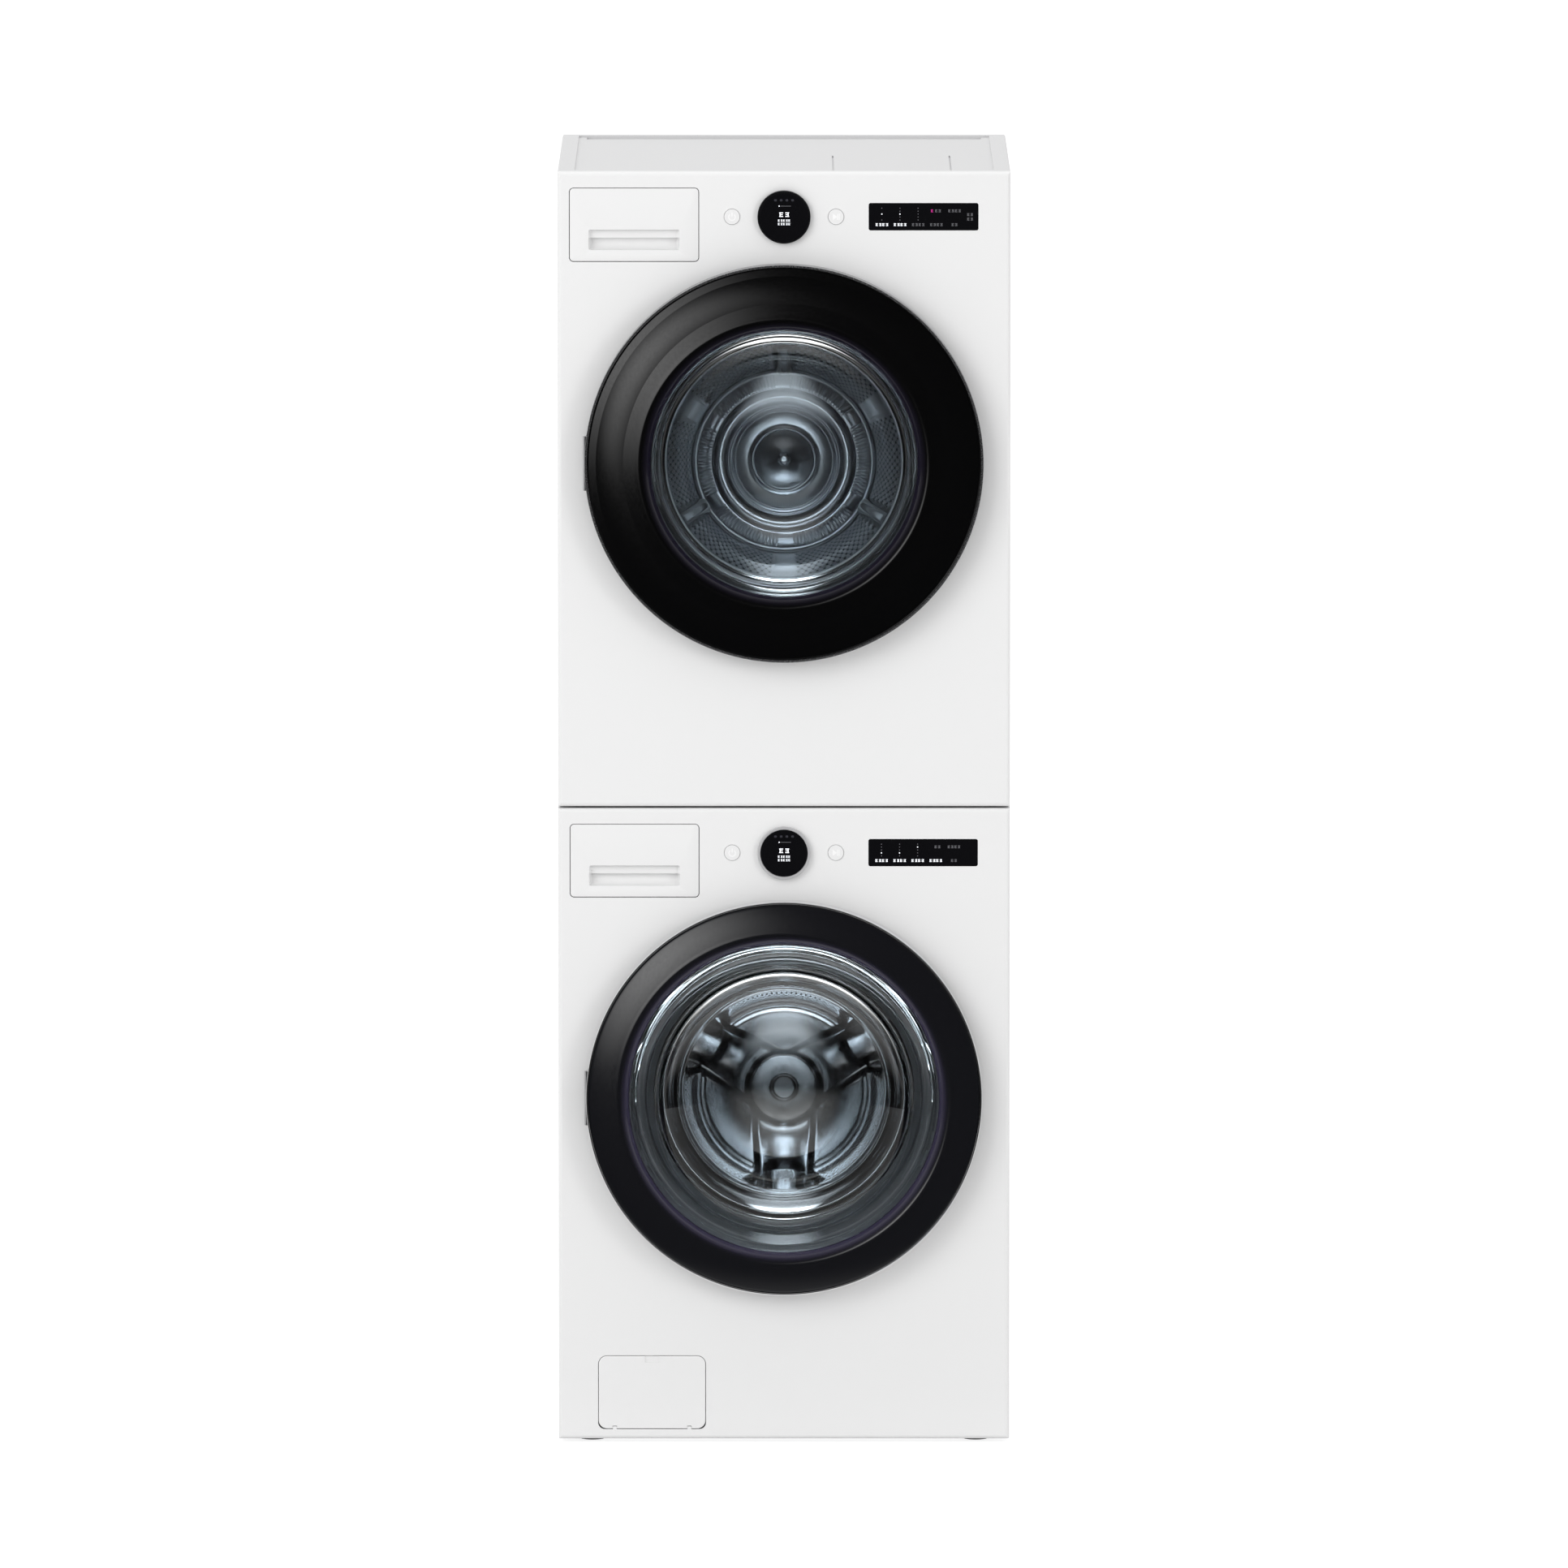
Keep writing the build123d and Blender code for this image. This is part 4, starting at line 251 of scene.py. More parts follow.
def moulded(name, colour, rough=0.4, drift=0.02, peel_scale=900.0, peel_depth=0.00002, metal=0.0, coat=0.0,
            specular=0.5):
    """Paint, plastic, rubber or a cast or rolled metal: one colour with its grain and drift."""
    finish = bpy.data.materials.new(name)
    finish.use_nodes = True
    tree = finish.node_tree
    shader = tree.nodes["Principled BSDF"]
    skin = tree.nodes.new("ShaderNodeGroup")
    skin.node_tree = paint_skin
    skin.inputs["Colour"].default_value = (*colour, 1)
    skin.inputs["Drift"].default_value = drift
    skin.inputs["Roughness"].default_value = rough
    skin.inputs["Peel Scale"].default_value = peel_scale
    tree.links.new(skin.outputs["Colour"], shader.inputs["Base Color"])
    tree.links.new(skin.outputs["Roughness"], shader.inputs["Roughness"])
    bump = tree.nodes.new("ShaderNodeBump")
    bump.inputs["Strength"].default_value = 1.0
    bump.inputs["Distance"].default_value = peel_depth
    tree.links.new(skin.outputs["Height"], bump.inputs["Height"])
    tree.links.new(bump.outputs[0], shader.inputs["Normal"])
    shader.inputs["Metallic"].default_value = metal
    shader.inputs["Coat Weight"].default_value = coat
    shader.inputs["Coat Roughness"].default_value = 0.08
    shader.inputs["Specular IOR Level"].default_value = specular
    return finish


def dress(finish, *names):
    for name in names:
        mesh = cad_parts[name].data
        mesh.materials.clear()
        mesh.materials.append(finish)


cabinet_white = moulded("cabinet_white", (0.80, 0.80, 0.80), rough=0.42, drift=0.03, peel_scale=700)
dress(cabinet_white, "washer_cabinet", "dryer_cabinet")

# --- Base pans and levelling feet -------------------------------------------------------
# Pressed galvanised pans close both machines below. The washer stands on four threaded
# feet with moulded rubber pads.
galvanised = moulded("galvanised_sheet", (0.55, 0.56, 0.57), rough=0.38, drift=0.25, peel_scale=160,
                     peel_depth=0.00001, metal=0.9)
dress(galvanised, "base_pans")
foot_rubber = moulded("foot_rubber", (0.035, 0.035, 0.037), rough=0.75, drift=0.1, peel_scale=1500)
dress(foot_rubber, "washer_feet")

# --- Stacking rails, rear panels and fittings -------------------------------------------
# Zinc-plated rails fill the gap between the two machines and are screwed on at the back,
# where grey sheet panels carry the moulded water, drain and cord fittings.
dress(galvanised, "stacking_hardware", "rear_panels", "dryer_rear_brace")
fitting_plastic = moulded("fitting_plastic", (0.09, 0.09, 0.095), rough=0.5, drift=0.08, peel_scale=1800)
dress(fitting_plastic, "rear_fittings")

# --- Top plates -------------------------------------------------------------------------
# A moulded white lid closes each machine. Its middle is sunk a few millimetres inside a
# raised border, with a strip along the back and two narrow slots on the right.
# The lids are painted a greyer white than the faces: painted shade for the top lying darker under the lights.
lid_white = moulded("lid_white", (0.65, 0.65, 0.655), rough=0.34, drift=0.02, peel_scale=1100)
dress(lid_white, "top_plates")

# --- Front panels -----------------------------------------------------------------------
# Each face is one seamless pressing with rounded edges, painted a very light warm white
# and smoother than the cabinet. It carries the drawer, the controls and the door.
face_white = moulded("face_white", (0.85, 0.85, 0.85), rough=0.36, drift=0.015, peel_scale=500,
                     peel_depth=0.000012, coat=0.15)
dress(face_white, "washer_front_panel", "dryer_front_panel")

# --- Drain filter cover and filter ------------------------------------------------------
# A flap in the washer's lower left corner is hinged at its bottom edge and has a finger
# notch. Behind it a finned knob closes the strainer of the drain pump.
dress(face_white, "washer_filter_cover")
knob_plastic = moulded("knob_plastic", (0.16, 0.30, 0.42), rough=0.42, drift=0.06, peel_scale=1500)
dress(knob_plastic, "washer_pump_filter")
pump_plastic = moulded("pump_plastic", (0.30, 0.31, 0.32), rough=0.5, drift=0.08, peel_scale=1200)
dress(pump_plastic, "washer_drain_pump")

# --- Hidden drives ----------------------------------------------------------------------
# Tub, suspension, motors, heat pump and ducts stand behind the panels. They are moulded
# plastic, cast iron, zinc-plated steel and aluminium, each with its own grain.
tub_grey = moulded("tub_grey", (0.42, 0.43, 0.44), rough=0.45, drift=0.06, peel_scale=900)
dress(tub_grey, "washer_tub")
bulkhead_grey = moulded("bulkhead_grey", (0.30, 0.31, 0.32), rough=0.5, drift=0.06, peel_scale=1200)
dress(bulkhead_grey, "dryer_front_bulkhead", "dryer_lint_filter")
stator_metal = moulded("stator_metal", (0.20, 0.16, 0.13), rough=0.45, drift=0.3, peel_scale=500, metal=0.6)
dress(stator_metal, "washer_stator")
cast_weight = moulded("cast_weight", (0.24, 0.24, 0.235), rough=0.85, drift=0.35, peel_scale=250,
                      peel_depth=0.0002)
dress(cast_weight, "washer_counterweight")
rod_steel = moulded("rod_steel", (0.50, 0.50, 0.51), rough=0.28, drift=0.1, peel_scale=900, metal=1.0)
dress(rod_steel, "washer_damper_rods", "washer_springs", "dryer_motor_shaft")
damper_plastic = moulded("damper_plastic", (0.12, 0.12, 0.125), rough=0.5, drift=0.08, peel_scale=1500)
dress(damper_plastic, "washer_damper_cylinders", "dryer_idler", "dryer_roller_left", "dryer_roller_right")
spider_alloy = moulded("spider_alloy", (0.52, 0.53, 0.54), rough=0.5, drift=0.2, peel_scale=350, metal=0.9,
                       peel_depth=0.00006)
dress(spider_alloy, "washer_spider")
motor_steel = moulded("motor_steel", (0.36, 0.37, 0.38), rough=0.4, drift=0.15, peel_scale=500, metal=0.85)
dress(motor_steel, "washer_rotor", "dryer_motor")
compressor_black = moulded("compressor_black", (0.02, 0.02, 0.022), rough=0.32, drift=0.1, peel_scale=600)
dress(compressor_black, "dryer_compressor")
fin_aluminium = moulded("fin_aluminium", (0.66, 0.67, 0.68), rough=0.35, drift=0.12, peel_scale=700,
                        metal=1.0)
dress(fin_aluminium, "dryer_heat_exchangers")
belt_rubber = moulded("belt_rubber", (0.02, 0.02, 0.02), rough=0.7, drift=0.1, peel_scale=1200)
dress(belt_rubber, "dryer_belt")
hinge_steel = moulded("hinge_steel", (0.45, 0.45, 0.46), rough=0.3, drift=0.1, peel_scale=700, metal=1.0)
dress(hinge_steel, "door_hardware", "washer_door_fittings", "dryer_door_fittings")

# --- Washer drum ------------------------------------------------------------------------
# A basket of polished stainless sheet, rolled and welded, with a turned-in mouth and fine
# perforations. Its axis falls towards the back, which is pressed into three petals.
washer_axis = 0.543
dryer_axis = 1.531
face_plane = -0.367
washer_fall = 5.2
dryer_fall = 4.8


def bend(start, through, end, count=14):
    """Points of the arc from start to end by way of through, without the first."""
    (ax, ay), (bx, by), (cx, cy) = start, through, end
    twice = 2 * (ax * (by - cy) + bx * (cy - ay) + cx * (ay - by))
    sa, sb, sc = ax * ax + ay * ay, bx * bx + by * by, cx * cx + cy * cy
    ux = (sa * (by - cy) + sb * (cy - ay) + sc * (ay - by)) / twice
    uy = (sa * (cx - bx) + sb * (ax - cx) + sc * (bx - ax)) / twice
    radius = math.hypot(ax - ux, ay - uy)
    first = math.atan2(ay - uy, ax - ux)
    middle = (math.atan2(by - uy, bx - ux) - first) % (2 * math.pi)
    last = (math.atan2(cy - uy, cx - ux) - first) % (2 * math.pi)
    if middle > last:
        last -= 2 * math.pi
    steps = [first + last * k / count for k in range(1, count + 1)]
    return [(ux + radius * math.cos(t), uy + radius * math.sin(t)) for t in steps]


def add_piece(name, shape, finish, sharp=38):
    """Object from a bmesh, smooth but for its sharp edges."""
    bmesh.ops.recalc_face_normals(shape, faces=shape.faces)
    mesh = bpy.data.meshes.new(name)
    shape.to_mesh(mesh)
    shape.free()
    mesh.shade_smooth()
    mesh.set_sharp_from_angle(angle=math.radians(sharp))
    mesh.materials.append(finish)
    piece = bpy.data.objects.new(name, mesh)
    bpy.context.collection.objects.link(piece)
    return piece


def drum_place(axis_z, fall):
    """From a drum's own axes, with y along it from the face plane, to the stack's."""
    return Matrix.Translation((0, face_plane, axis_z)) @ Matrix.Rotation(-math.radians(fall), 4, "X")


def turned_shape(outline, steps=224, closed=True):
    """Bmesh turned about Y from (radius, y) points in millimetres."""
    shape = bmesh.new()
    rings = []
    for radius, y in outline:
        count = 1 if radius < 1e-6 else steps
        turns = [2 * math.pi * k / steps for k in range(count)]
        rings.append([shape.verts.new((radius / 1000 * math.sin(t), y / 1000, radius / 1000 * math.cos(t)))
                      for t in turns])
    pairs = list(zip(rings, rings[1:]))
    if closed:
        pairs.append((rings[-1], rings[0]))
    for low, high in pairs:
        if len(low) == len(high) == 1:
            continue
        for k in range(steps):
            n = (k + 1) % steps
            if len(low) == 1:
                shape.faces.new((low[0], high[k], high[n]))
            elif len(high) == 1:
                shape.faces.new((low[k], high[0], low[n]))
            else:
                shape.faces.new((low[k], high[k], high[n], low[n]))
    return shape


def round_rows():
    """Node group that repeats a part in staggered rows round Y, with evenly spaced gaps."""
    tree = bpy.data.node_groups.new("round_rows", "GeometryNodeTree")
    for label, kind, value in (
        ("Part", "NodeSocketObject", None), ("Finish", "NodeSocketMaterial", None),
        ("Columns", "NodeSocketInt", 12), ("Rows", "NodeSocketInt", 1),
        ("Radius", "NodeSocketFloat", 0.1), ("Radius Step", "NodeSocketFloat", 0.0),
        ("Start", "NodeSocketFloat", 0.0), ("Step", "NodeSocketFloat", 0.0),
        ("Gaps", "NodeSocketInt", 1), ("Gap Half", "NodeSocketFloat", 0.0),
        ("First Gap", "NodeSocketFloat", 0.0),
    ):
        socket = tree.interface.new_socket(name=label, in_out="INPUT", socket_type=kind)
        if value is not None:
            socket.default_value = value
    tree.interface.new_socket(name="Geometry", in_out="OUTPUT", socket_type="NodeSocketGeometry")
    given = tree.nodes.new("NodeGroupInput").outputs
    index = tree.nodes.new("GeometryNodeInputIndex").outputs[0]
    row = number(tree, "FLOOR", number(tree, "DIVIDE", index, given["Columns"]))
    column = number(tree, "SUBTRACT", index, number(tree, "MULTIPLY", row, given["Columns"]))
    staggered = number(tree, "MULTIPLY_ADD", number(tree, "MODULO", row, 2.0), 0.5, column)
    turn = number(tree, "DIVIDE", number(tree, "MULTIPLY", staggered, 2 * math.pi), given["Columns"])
    radius = number(tree, "MULTIPLY_ADD", row, given["Radius Step"], given["Radius"])
    spot = tree.nodes.new("ShaderNodeCombineXYZ")
    tree.links.new(number(tree, "MULTIPLY", number(tree, "SINE", turn), radius), spot.inputs[0])
    tree.links.new(number(tree, "MULTIPLY_ADD", row, given["Step"], given["Start"]), spot.inputs[1])
    tree.links.new(number(tree, "MULTIPLY", number(tree, "COSINE", turn), radius), spot.inputs[2])
    points = tree.nodes.new("GeometryNodePoints")
    tree.links.new(number(tree, "MULTIPLY", given["Columns"], given["Rows"]), points.inputs["Count"])
    tree.links.new(spot.outputs[0], points.inputs["Position"])
    found = tree.nodes.new("ShaderNodeSeparateXYZ")
    tree.links.new(tree.nodes.new("GeometryNodeInputPosition").outputs[0], found.inputs[0])
    facing = number(tree, "ARCTAN2", found.outputs[0], found.outputs[2])
    share = number(tree, "DIVIDE", 2 * math.pi, given["Gaps"])
    gaps_on = number(tree, "DIVIDE", number(tree, "SUBTRACT", facing, given["First Gap"]), share)
    off = number(tree, "ABSOLUTE", number(tree, "SUBTRACT", gaps_on, number(tree, "ROUND", gaps_on)))
    in_gap = number(tree, "LESS_THAN", number(tree, "MULTIPLY", off, share), given["Gap Half"])
    kept = tree.nodes.new("GeometryNodeDeleteGeometry")
    tree.links.new(points.outputs[0], kept.inputs["Geometry"])
    tree.links.new(in_gap, kept.inputs["Selection"])
    part = tree.nodes.new("GeometryNodeObjectInfo")
    tree.links.new(given["Part"], part.inputs["Object"])
    tilt = tree.nodes.new("ShaderNodeCombineXYZ")
    tree.links.new(facing, tilt.inputs[1])
    placed = tree.nodes.new("GeometryNodeInstanceOnPoints")
    tree.links.new(kept.outputs[0], placed.inputs["Points"])
    tree.links.new(part.outputs["Geometry"], placed.inputs["Instance"])
    tree.links.new(tilt.outputs[0], placed.inputs["Rotation"])
    solid = tree.nodes.new("GeometryNodeRealizeInstances")
    tree.links.new(placed.outputs[0], solid.inputs[0])
    painted = tree.nodes.new("GeometryNodeSetMaterial")
    tree.links.new(solid.outputs[0], painted.inputs["Geometry"])
    tree.links.new(given["Finish"], painted.inputs["Material"])
    tree.links.new(painted.outputs[0], tree.nodes.new("NodeGroupOutput").inputs[0])
    return tree


rows_tree = round_rows()


def repeated(name, part, finish, place, **values):
    """Piece made by round_rows from a small part, which goes away, and set in its place."""
    piece = bpy.data.objects.new(name, bpy.data.meshes.new(name))
    bpy.context.collection.objects.link(piece)
    rows = piece.modifiers.new("rows", "NODES")
    rows.node_group = rows_tree
    values = dict(values, part=part, finish=finish)
    for item in rows_tree.interface.items_tree:
        label = item.name.lower().replace(" ", "_")
        if item.in_out == "INPUT" and label in values:
            rows[item.identifier] = values[label]
    evaluated = piece.evaluated_get(bpy.context.evaluated_depsgraph_get())
    mesh = bpy.data.meshes.new_from_object(evaluated)
    piece.modifiers.clear()
    piece.data = mesh
    mesh.transform(place)
    mesh.shade_smooth()
    bpy.data.objects.remove(part)
    return piece


def little_ring(name, rings, sides=8):
    """Small part lying across Z, from (radius, height) points in millimetres."""
    shape = bmesh.new()
    loops = []
    for radius, height in rings:
        if radius == 0:
            loops.append([shape.verts.new((0, 0, height / 1000))])
            continue
        loops.append([shape.verts.new((radius / 1000 * math.cos(2 * math.pi * k / sides),
                                       radius / 1000 * math.sin(2 * math.pi * k / sides), height / 1000))
                      for k in range(sides)])
    for inner, outer in zip(loops, loops[1:]):
        for k in range(sides):
            n = (k + 1) % sides
            corners = (inner[0], outer[n], outer[k]) if len(inner) == 1 else (inner[k], inner[n], outer[n], outer[k])
            shape.faces.new(corners)
    mesh = bpy.data.meshes.new(name)
    shape.to_mesh(mesh)
    shape.free()
    part = bpy.data.objects.new(name, mesh)
    bpy.context.collection.objects.link(part)
    return part


def soft(value, start, end):
    """Smooth step between 0 and 1."""
    t = min(max((value - start) / (end - start), 0.0), 1.0)
    return t * t * (3 - 2 * t)


drum_polish = moulded("drum_polish", (0.43, 0.44, 0.455), rough=0.12, drift=0.05, peel_scale=60,
                      peel_depth=0.00006, metal=1.0)
# Near-black for the perforations: painted shade in place of the dark opening.
hole_dark = moulded("hole_dark", (0.012, 0.012, 0.013), rough=0.5, drift=0.1, peel_scale=900)
washer_place = drum_place(washer_axis, washer_fall)
basket_radius = 265.0
basket_front, basket_rear = 95.0, 520.0
basket = [(222, basket_front + 14), (222, basket_front + 5)]
basket += bend((222, basket_front + 5), (223.4, basket_front + 1.4), (227, basket_front), 5)
basket += [(249, basket_front)]
basket += bend((249, basket_front), (260.5, basket_front + 4.5), (basket_radius, basket_front + 16), 8)
basket += [(basket_radius, basket_rear - 1.2), (basket_radius - 1.2, basket_rear - 1.2)]
basket += [(basket_radius - 1.2, basket_front + 16)]
basket += bend(basket[-1], (259.6, basket_front + 5.5), (249, basket_front + 1.2), 8)
basket += [(227, basket_front + 1.2), (223.2, basket_front + 5), (223.2, basket_front + 14)]
shape = turned_shape(basket)
shape.transform(washer_place)
washer_basket = add_piece("washer_basket", shape, drum_polish)
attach(washer_basket, "washer_drum")


def petal_rise(x, z):
    """Height of the washer drum's back over its lowest level, towards the door."""
    radius = math.hypot(x, z)
    turn = math.atan2(x, z)
    arm = 0.0
    for k in range(3):
        off = turn - math.radians(60 + 120 * k)
        if math.cos(off) > 0:
            arm = max(arm, 1 - soft(radius * abs(math.sin(off)), 66, 90))
    arm_rise = 20 - 8 * soft(radius, 110, 240)
    dish = 9 * (1 - soft(radius, 95, 235)) + 4 * soft(radius, 235, 262)
    rise = dish + (arm_rise - dish) * arm
    boss = 30 + 3 * (1 - soft(abs(radius - 33), 0, 4)) - 2.5 * (1 - soft(radius, 0, 90))
    return rise + (boss - rise) * (1 - soft(radius, 88, 108))


def tint_near_axis(finish, axis_z, inner, outer, tint):
    """Blends a metal or lacquer to another tone towards an axis that runs front to back."""
    tree = finish.node_tree
    shader = tree.nodes["Principled BSDF"]
    spot = tree.nodes.new("ShaderNodeTexCoord")
    moved = tree.nodes.new("ShaderNodeMapping")
    moved.inputs["Location"].default_value = (0, 0, -axis_z)
    tree.links.new(spot.outputs["Object"], moved.inputs["Vector"])
    flat = tree.nodes.new("ShaderNodeVectorMath")
    flat.operation = "MULTIPLY"
    flat.inputs[1].default_value = (1, 0, 1)
    tree.links.new(moved.outputs[0], flat.inputs[0])
    away = tree.nodes.new("ShaderNodeVectorMath")
    away.operation = "LENGTH"
    tree.links.new(flat.outputs[0], away.inputs[0])
    share = tree.nodes.new("ShaderNodeMapRange")
    share.interpolation_type = "SMOOTHSTEP"
    share.inputs["From Min"].default_value = outer
    share.inputs["From Max"].default_value = inner
    tree.links.new(away.outputs["Value"], share.inputs["Value"])
    blend = tree.nodes.new("ShaderNodeMix")
    blend.data_type = "RGBA"
    tree.links.new(share.outputs[0], blend.inputs["Factor"])
    skin = [n for n in tree.nodes if n.type == "GROUP"][0]
    tree.links.new(skin.outputs["Colour"], blend.inputs["A"])
    blend.inputs["B"].default_value = (*tint, 1)
    tree.links.new(blend.outputs["Result"], shader.inputs["Base Color"])


hub_centre = washer_place @ Vector((0, basket_rear / 1000, 0))
back_polish = moulded("back_polish", (0.36, 0.37, 0.385), rough=0.16, drift=0.05, peel_scale=60,
                      peel_depth=0.00006, metal=1.0)
# Near the axis the polished back is blended to a near-black steel: painted shade for the dark hub, not a different
# metal.
tint_near_axis(back_polish, hub_centre.z, 0.086, 0.092, (0.09, 0.092, 0.095))
shape = bmesh.new()
rim = basket_radius - 1.2
spokes, loops = 240, 84
sheets = []
for depth in (0.0, 1.2):
    grid = []
    for j in range(loops + 1):
        radius = max(rim * j / loops, 0.0)
        grid.append([])
        for k in range(1 if j == 0 else spokes):
            turn = 2 * math.pi * k / spokes
            x, z = radius * math.sin(turn), radius * math.cos(turn)
            y = basket_rear - 1.2 - petal_rise(x, z) + depth
            grid[-1].append(shape.verts.new((x / 1000, y / 1000, z / 1000)))
    for j in range(loops):
        for k in range(spokes):
            n = (k + 1) % spokes
            if j == 0:
                shape.faces.new((grid[0][0], grid[1][k], grid[1][n]))
            else:
                shape.faces.new((grid[j][k], grid[j][n], grid[j + 1][n], grid[j + 1][k]))
    sheets.append(grid[-1])
for k in range(spokes):
    n = (k + 1) % spokes
    shape.faces.new((sheets[0][k], sheets[0][n], sheets[1][n], sheets[1][k]))
shape.transform(washer_place)
washer_back = add_piece("washer_drum_back", shape, back_polish, sharp=60)
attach(washer_back, "washer_drum")

hole_rows = dict(columns=126, rows=29, radius=(basket_radius - 1.2) / 1000, start=(basket_front + 32) / 1000,
                 step=0.0132, gaps=3, gap_half=math.radians(20), first_gap=math.radians(60))
rims = repeated("washer_drum_hole_rims", little_ring("rim", [(3.5, 0.0), (2.7, -0.75), (1.9, 0.2)]), drum_polish,
                washer_place, **hole_rows)
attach(rims, "washer_drum")
# The perforations are not cut: a near-black disc sits in each rim as painted shade for the dark hole.
hole_shade_discs = repeated("washer_drum_holes", little_ring("hole", [(0, -0.25), (2.3, -0.25)]), hole_dark, washer_place,
                 **hole_rows)
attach(hole_shade_discs, "washer_drum")
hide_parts("washer_drum")

# --- Washer lifters ---------------------------------------------------------------------
# Three hollow steel-faced paddles stand on the drum wall between the petals and throw the laundry over. Each has
# rounded flanks and sloped ends.
paddle_polish = moulded("paddle_polish", (0.42, 0.43, 0.445), rough=0.13, drift=0.05, peel_scale=80,
                        peel_depth=0.00004, metal=1.0)


def wall_paddle(name, body, place, wall, turn, start, end, base, height, finish):
    """Paddle on the inside of a drum wall at a turn from the top, sizes in millimetres."""
    shape = bmesh.new()
    stations, across = 30, 28
    rows = []
    for j in range(stations + 1):
        along = j / stations
        rise = height * (0.22 + 0.78 * soft(min(along, 1 - along), 0.0, 0.16))
        half = base / 2 * (0.9 + 0.1 * soft(min(along, 1 - along), 0.0, 0.14))
        row = []
        for k in range(across + 1):
            u = -1 + 2 * k / across
            crest = (1 - abs(u) ** 3.2) ** 0.8
            x = half * (u * (1 - 0.22 * crest))
            z = math.sqrt(wall * wall - x * x) + 1.0 - rise * crest
            row.append(shape.verts.new((x / 1000, (start + (end - start) * along) / 1000, z / 1000)))
        rows.append(row)
    for low, high in zip(rows, rows[1:]):
        for k in range(across):
            shape.faces.new((low[k], low[k + 1], high[k + 1], high[k]))
    shape.faces.new(rows[0])
    shape.faces.new(list(reversed(rows[-1])))
    for low, high in zip(rows, rows[1:]):
        shape.faces.new((low[0], high[0], high[-1], low[-1]))
    shape.transform(place @ Matrix.Rotation(math.radians(turn), 4, "Y"))
    piece = add_piece(name, shape, finish, sharp=50)
    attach(piece, body)
    return piece


for label, turn in (("right", 60), ("bottom", 180), ("left", 300)):
    paddle = wall_paddle("washer_lifter_" + label, "washer_drum", washer_place, basket_radius - 1.2, turn,
                         basket_front + 34, basket_rear - 16, 150, 46, paddle_polish)
    if label == "bottom":
        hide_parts("washer_drum_lifters")

# --- Dryer drum -------------------------------------------------------------------------
# A wide stainless drum without perforations. Its wall is embossed with rows of short ribs
# in six fields, and three slim lifters stand on the plain strips between them.
dryer_steel = moulded("dryer_steel", (0.55, 0.56, 0.58), rough=0.15, drift=0.05, peel_scale=60,
                      peel_depth=0.00005, metal=1.0)
dryer_place = drum_place(dryer_axis, dryer_fall)
tumbler_radius = 290.0
tumbler_front, tumbler_rear = 64.0, 584.0
tumbler = [(262, tumbler_front), (278, tumbler_front)]
tumbler += bend((278, tumbler_front), (286.5, tumbler_front + 3), (tumbler_radius, tumbler_front + 11), 7)
tumbler += [(tumbler_radius, tumbler_rear), (284, tumbler_rear), (284, tumbler_rear - 1.2),
            (tumbler_radius - 1.2, tumbler_rear - 1.2), (tumbler_radius - 1.2, tumbler_front + 11)]
tumbler += bend(tumbler[-1], (285.6, tumbler_front + 4), (278, tumbler_front + 1.2), 7)
tumbler += [(262, tumbler_front + 1.2)]
shape = turned_shape(tumbler)
shape.transform(dryer_place)
dryer_basket = add_piece("dryer_drum_wall", shape, dryer_steel)
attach(dryer_basket, "dryer_drum")
rib = bmesh.new()
rib_length, rib_width, rib_rise = 20.0, 10.5, 4.0
ribs = []
for j in range(7):
    along = -1 + 2 * j / 6
    ribs.append([rib.verts.new((rib_width / 2000 * across, rib_length / 2000 * along,
                                -rib_rise / 1000 * (1 - across * across) * (1 - along ** 4)))
                 for across in (-1, -0.5, 0, 0.5, 1)])
for low, high in zip(ribs, ribs[1:]):
    for k in range(4):
        rib.faces.new((low[k], high[k], high[k + 1], low[k + 1]))
mesh = bpy.data.meshes.new("rib")
rib.to_mesh(mesh)
rib.free()
rib_part = bpy.data.objects.new("rib", mesh)
bpy.context.collection.objects.link(rib_part)
wall_ribs = repeated("dryer_drum_ribs", rib_part, dryer_steel, dryer_place, columns=96, rows=19,
                     radius=(tumbler_radius - 1.1) / 1000, start=(tumbler_front + 28) / 1000, step=0.0245, gaps=6,
                     gap_half=math.radians(7.5), first_gap=0.0)
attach(wall_ribs, "dryer_drum")
for label, turn in (("top", 0), ("right", 120), ("left", 240)):
    wall_paddle("dryer_lifter_" + label, "dryer_drum", dryer_place, tumbler_radius - 1.2, turn, tumbler_front + 72,
                tumbler_rear - 34, 66, 44, dryer_steel)
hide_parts("dryer_drum")

# --- Dryer drum back --------------------------------------------------------------------
# The drum's back is one deep-drawn disc, spun smooth: a ring of fine radial flutes, a broad
# roll, two beads, a brushed cone and the cap of the rear axle in the middle.
spun_steel = moulded("spun_steel", (0.58, 0.60, 0.63), rough=0.33, drift=0.05, peel_scale=40,
                     peel_depth=0.00003, metal=1.0)
shader = spun_steel.node_tree.nodes["Principled BSDF"]
shader.inputs["Anisotropic"].default_value = 0.9
grain = spun_steel.node_tree.nodes.new("ShaderNodeTangent")
grain.direction_type = "RADIAL"
grain.axis = "Y"
spun_steel.node_tree.links.new(grain.outputs[0], shader.inputs["Tangent"])
level = tumbler_rear - 1.2


def bead(radius, height, half):
    return bend((radius + half, level - 0.5), (radius, level - height), (radius - half, level - 0.5), 8)


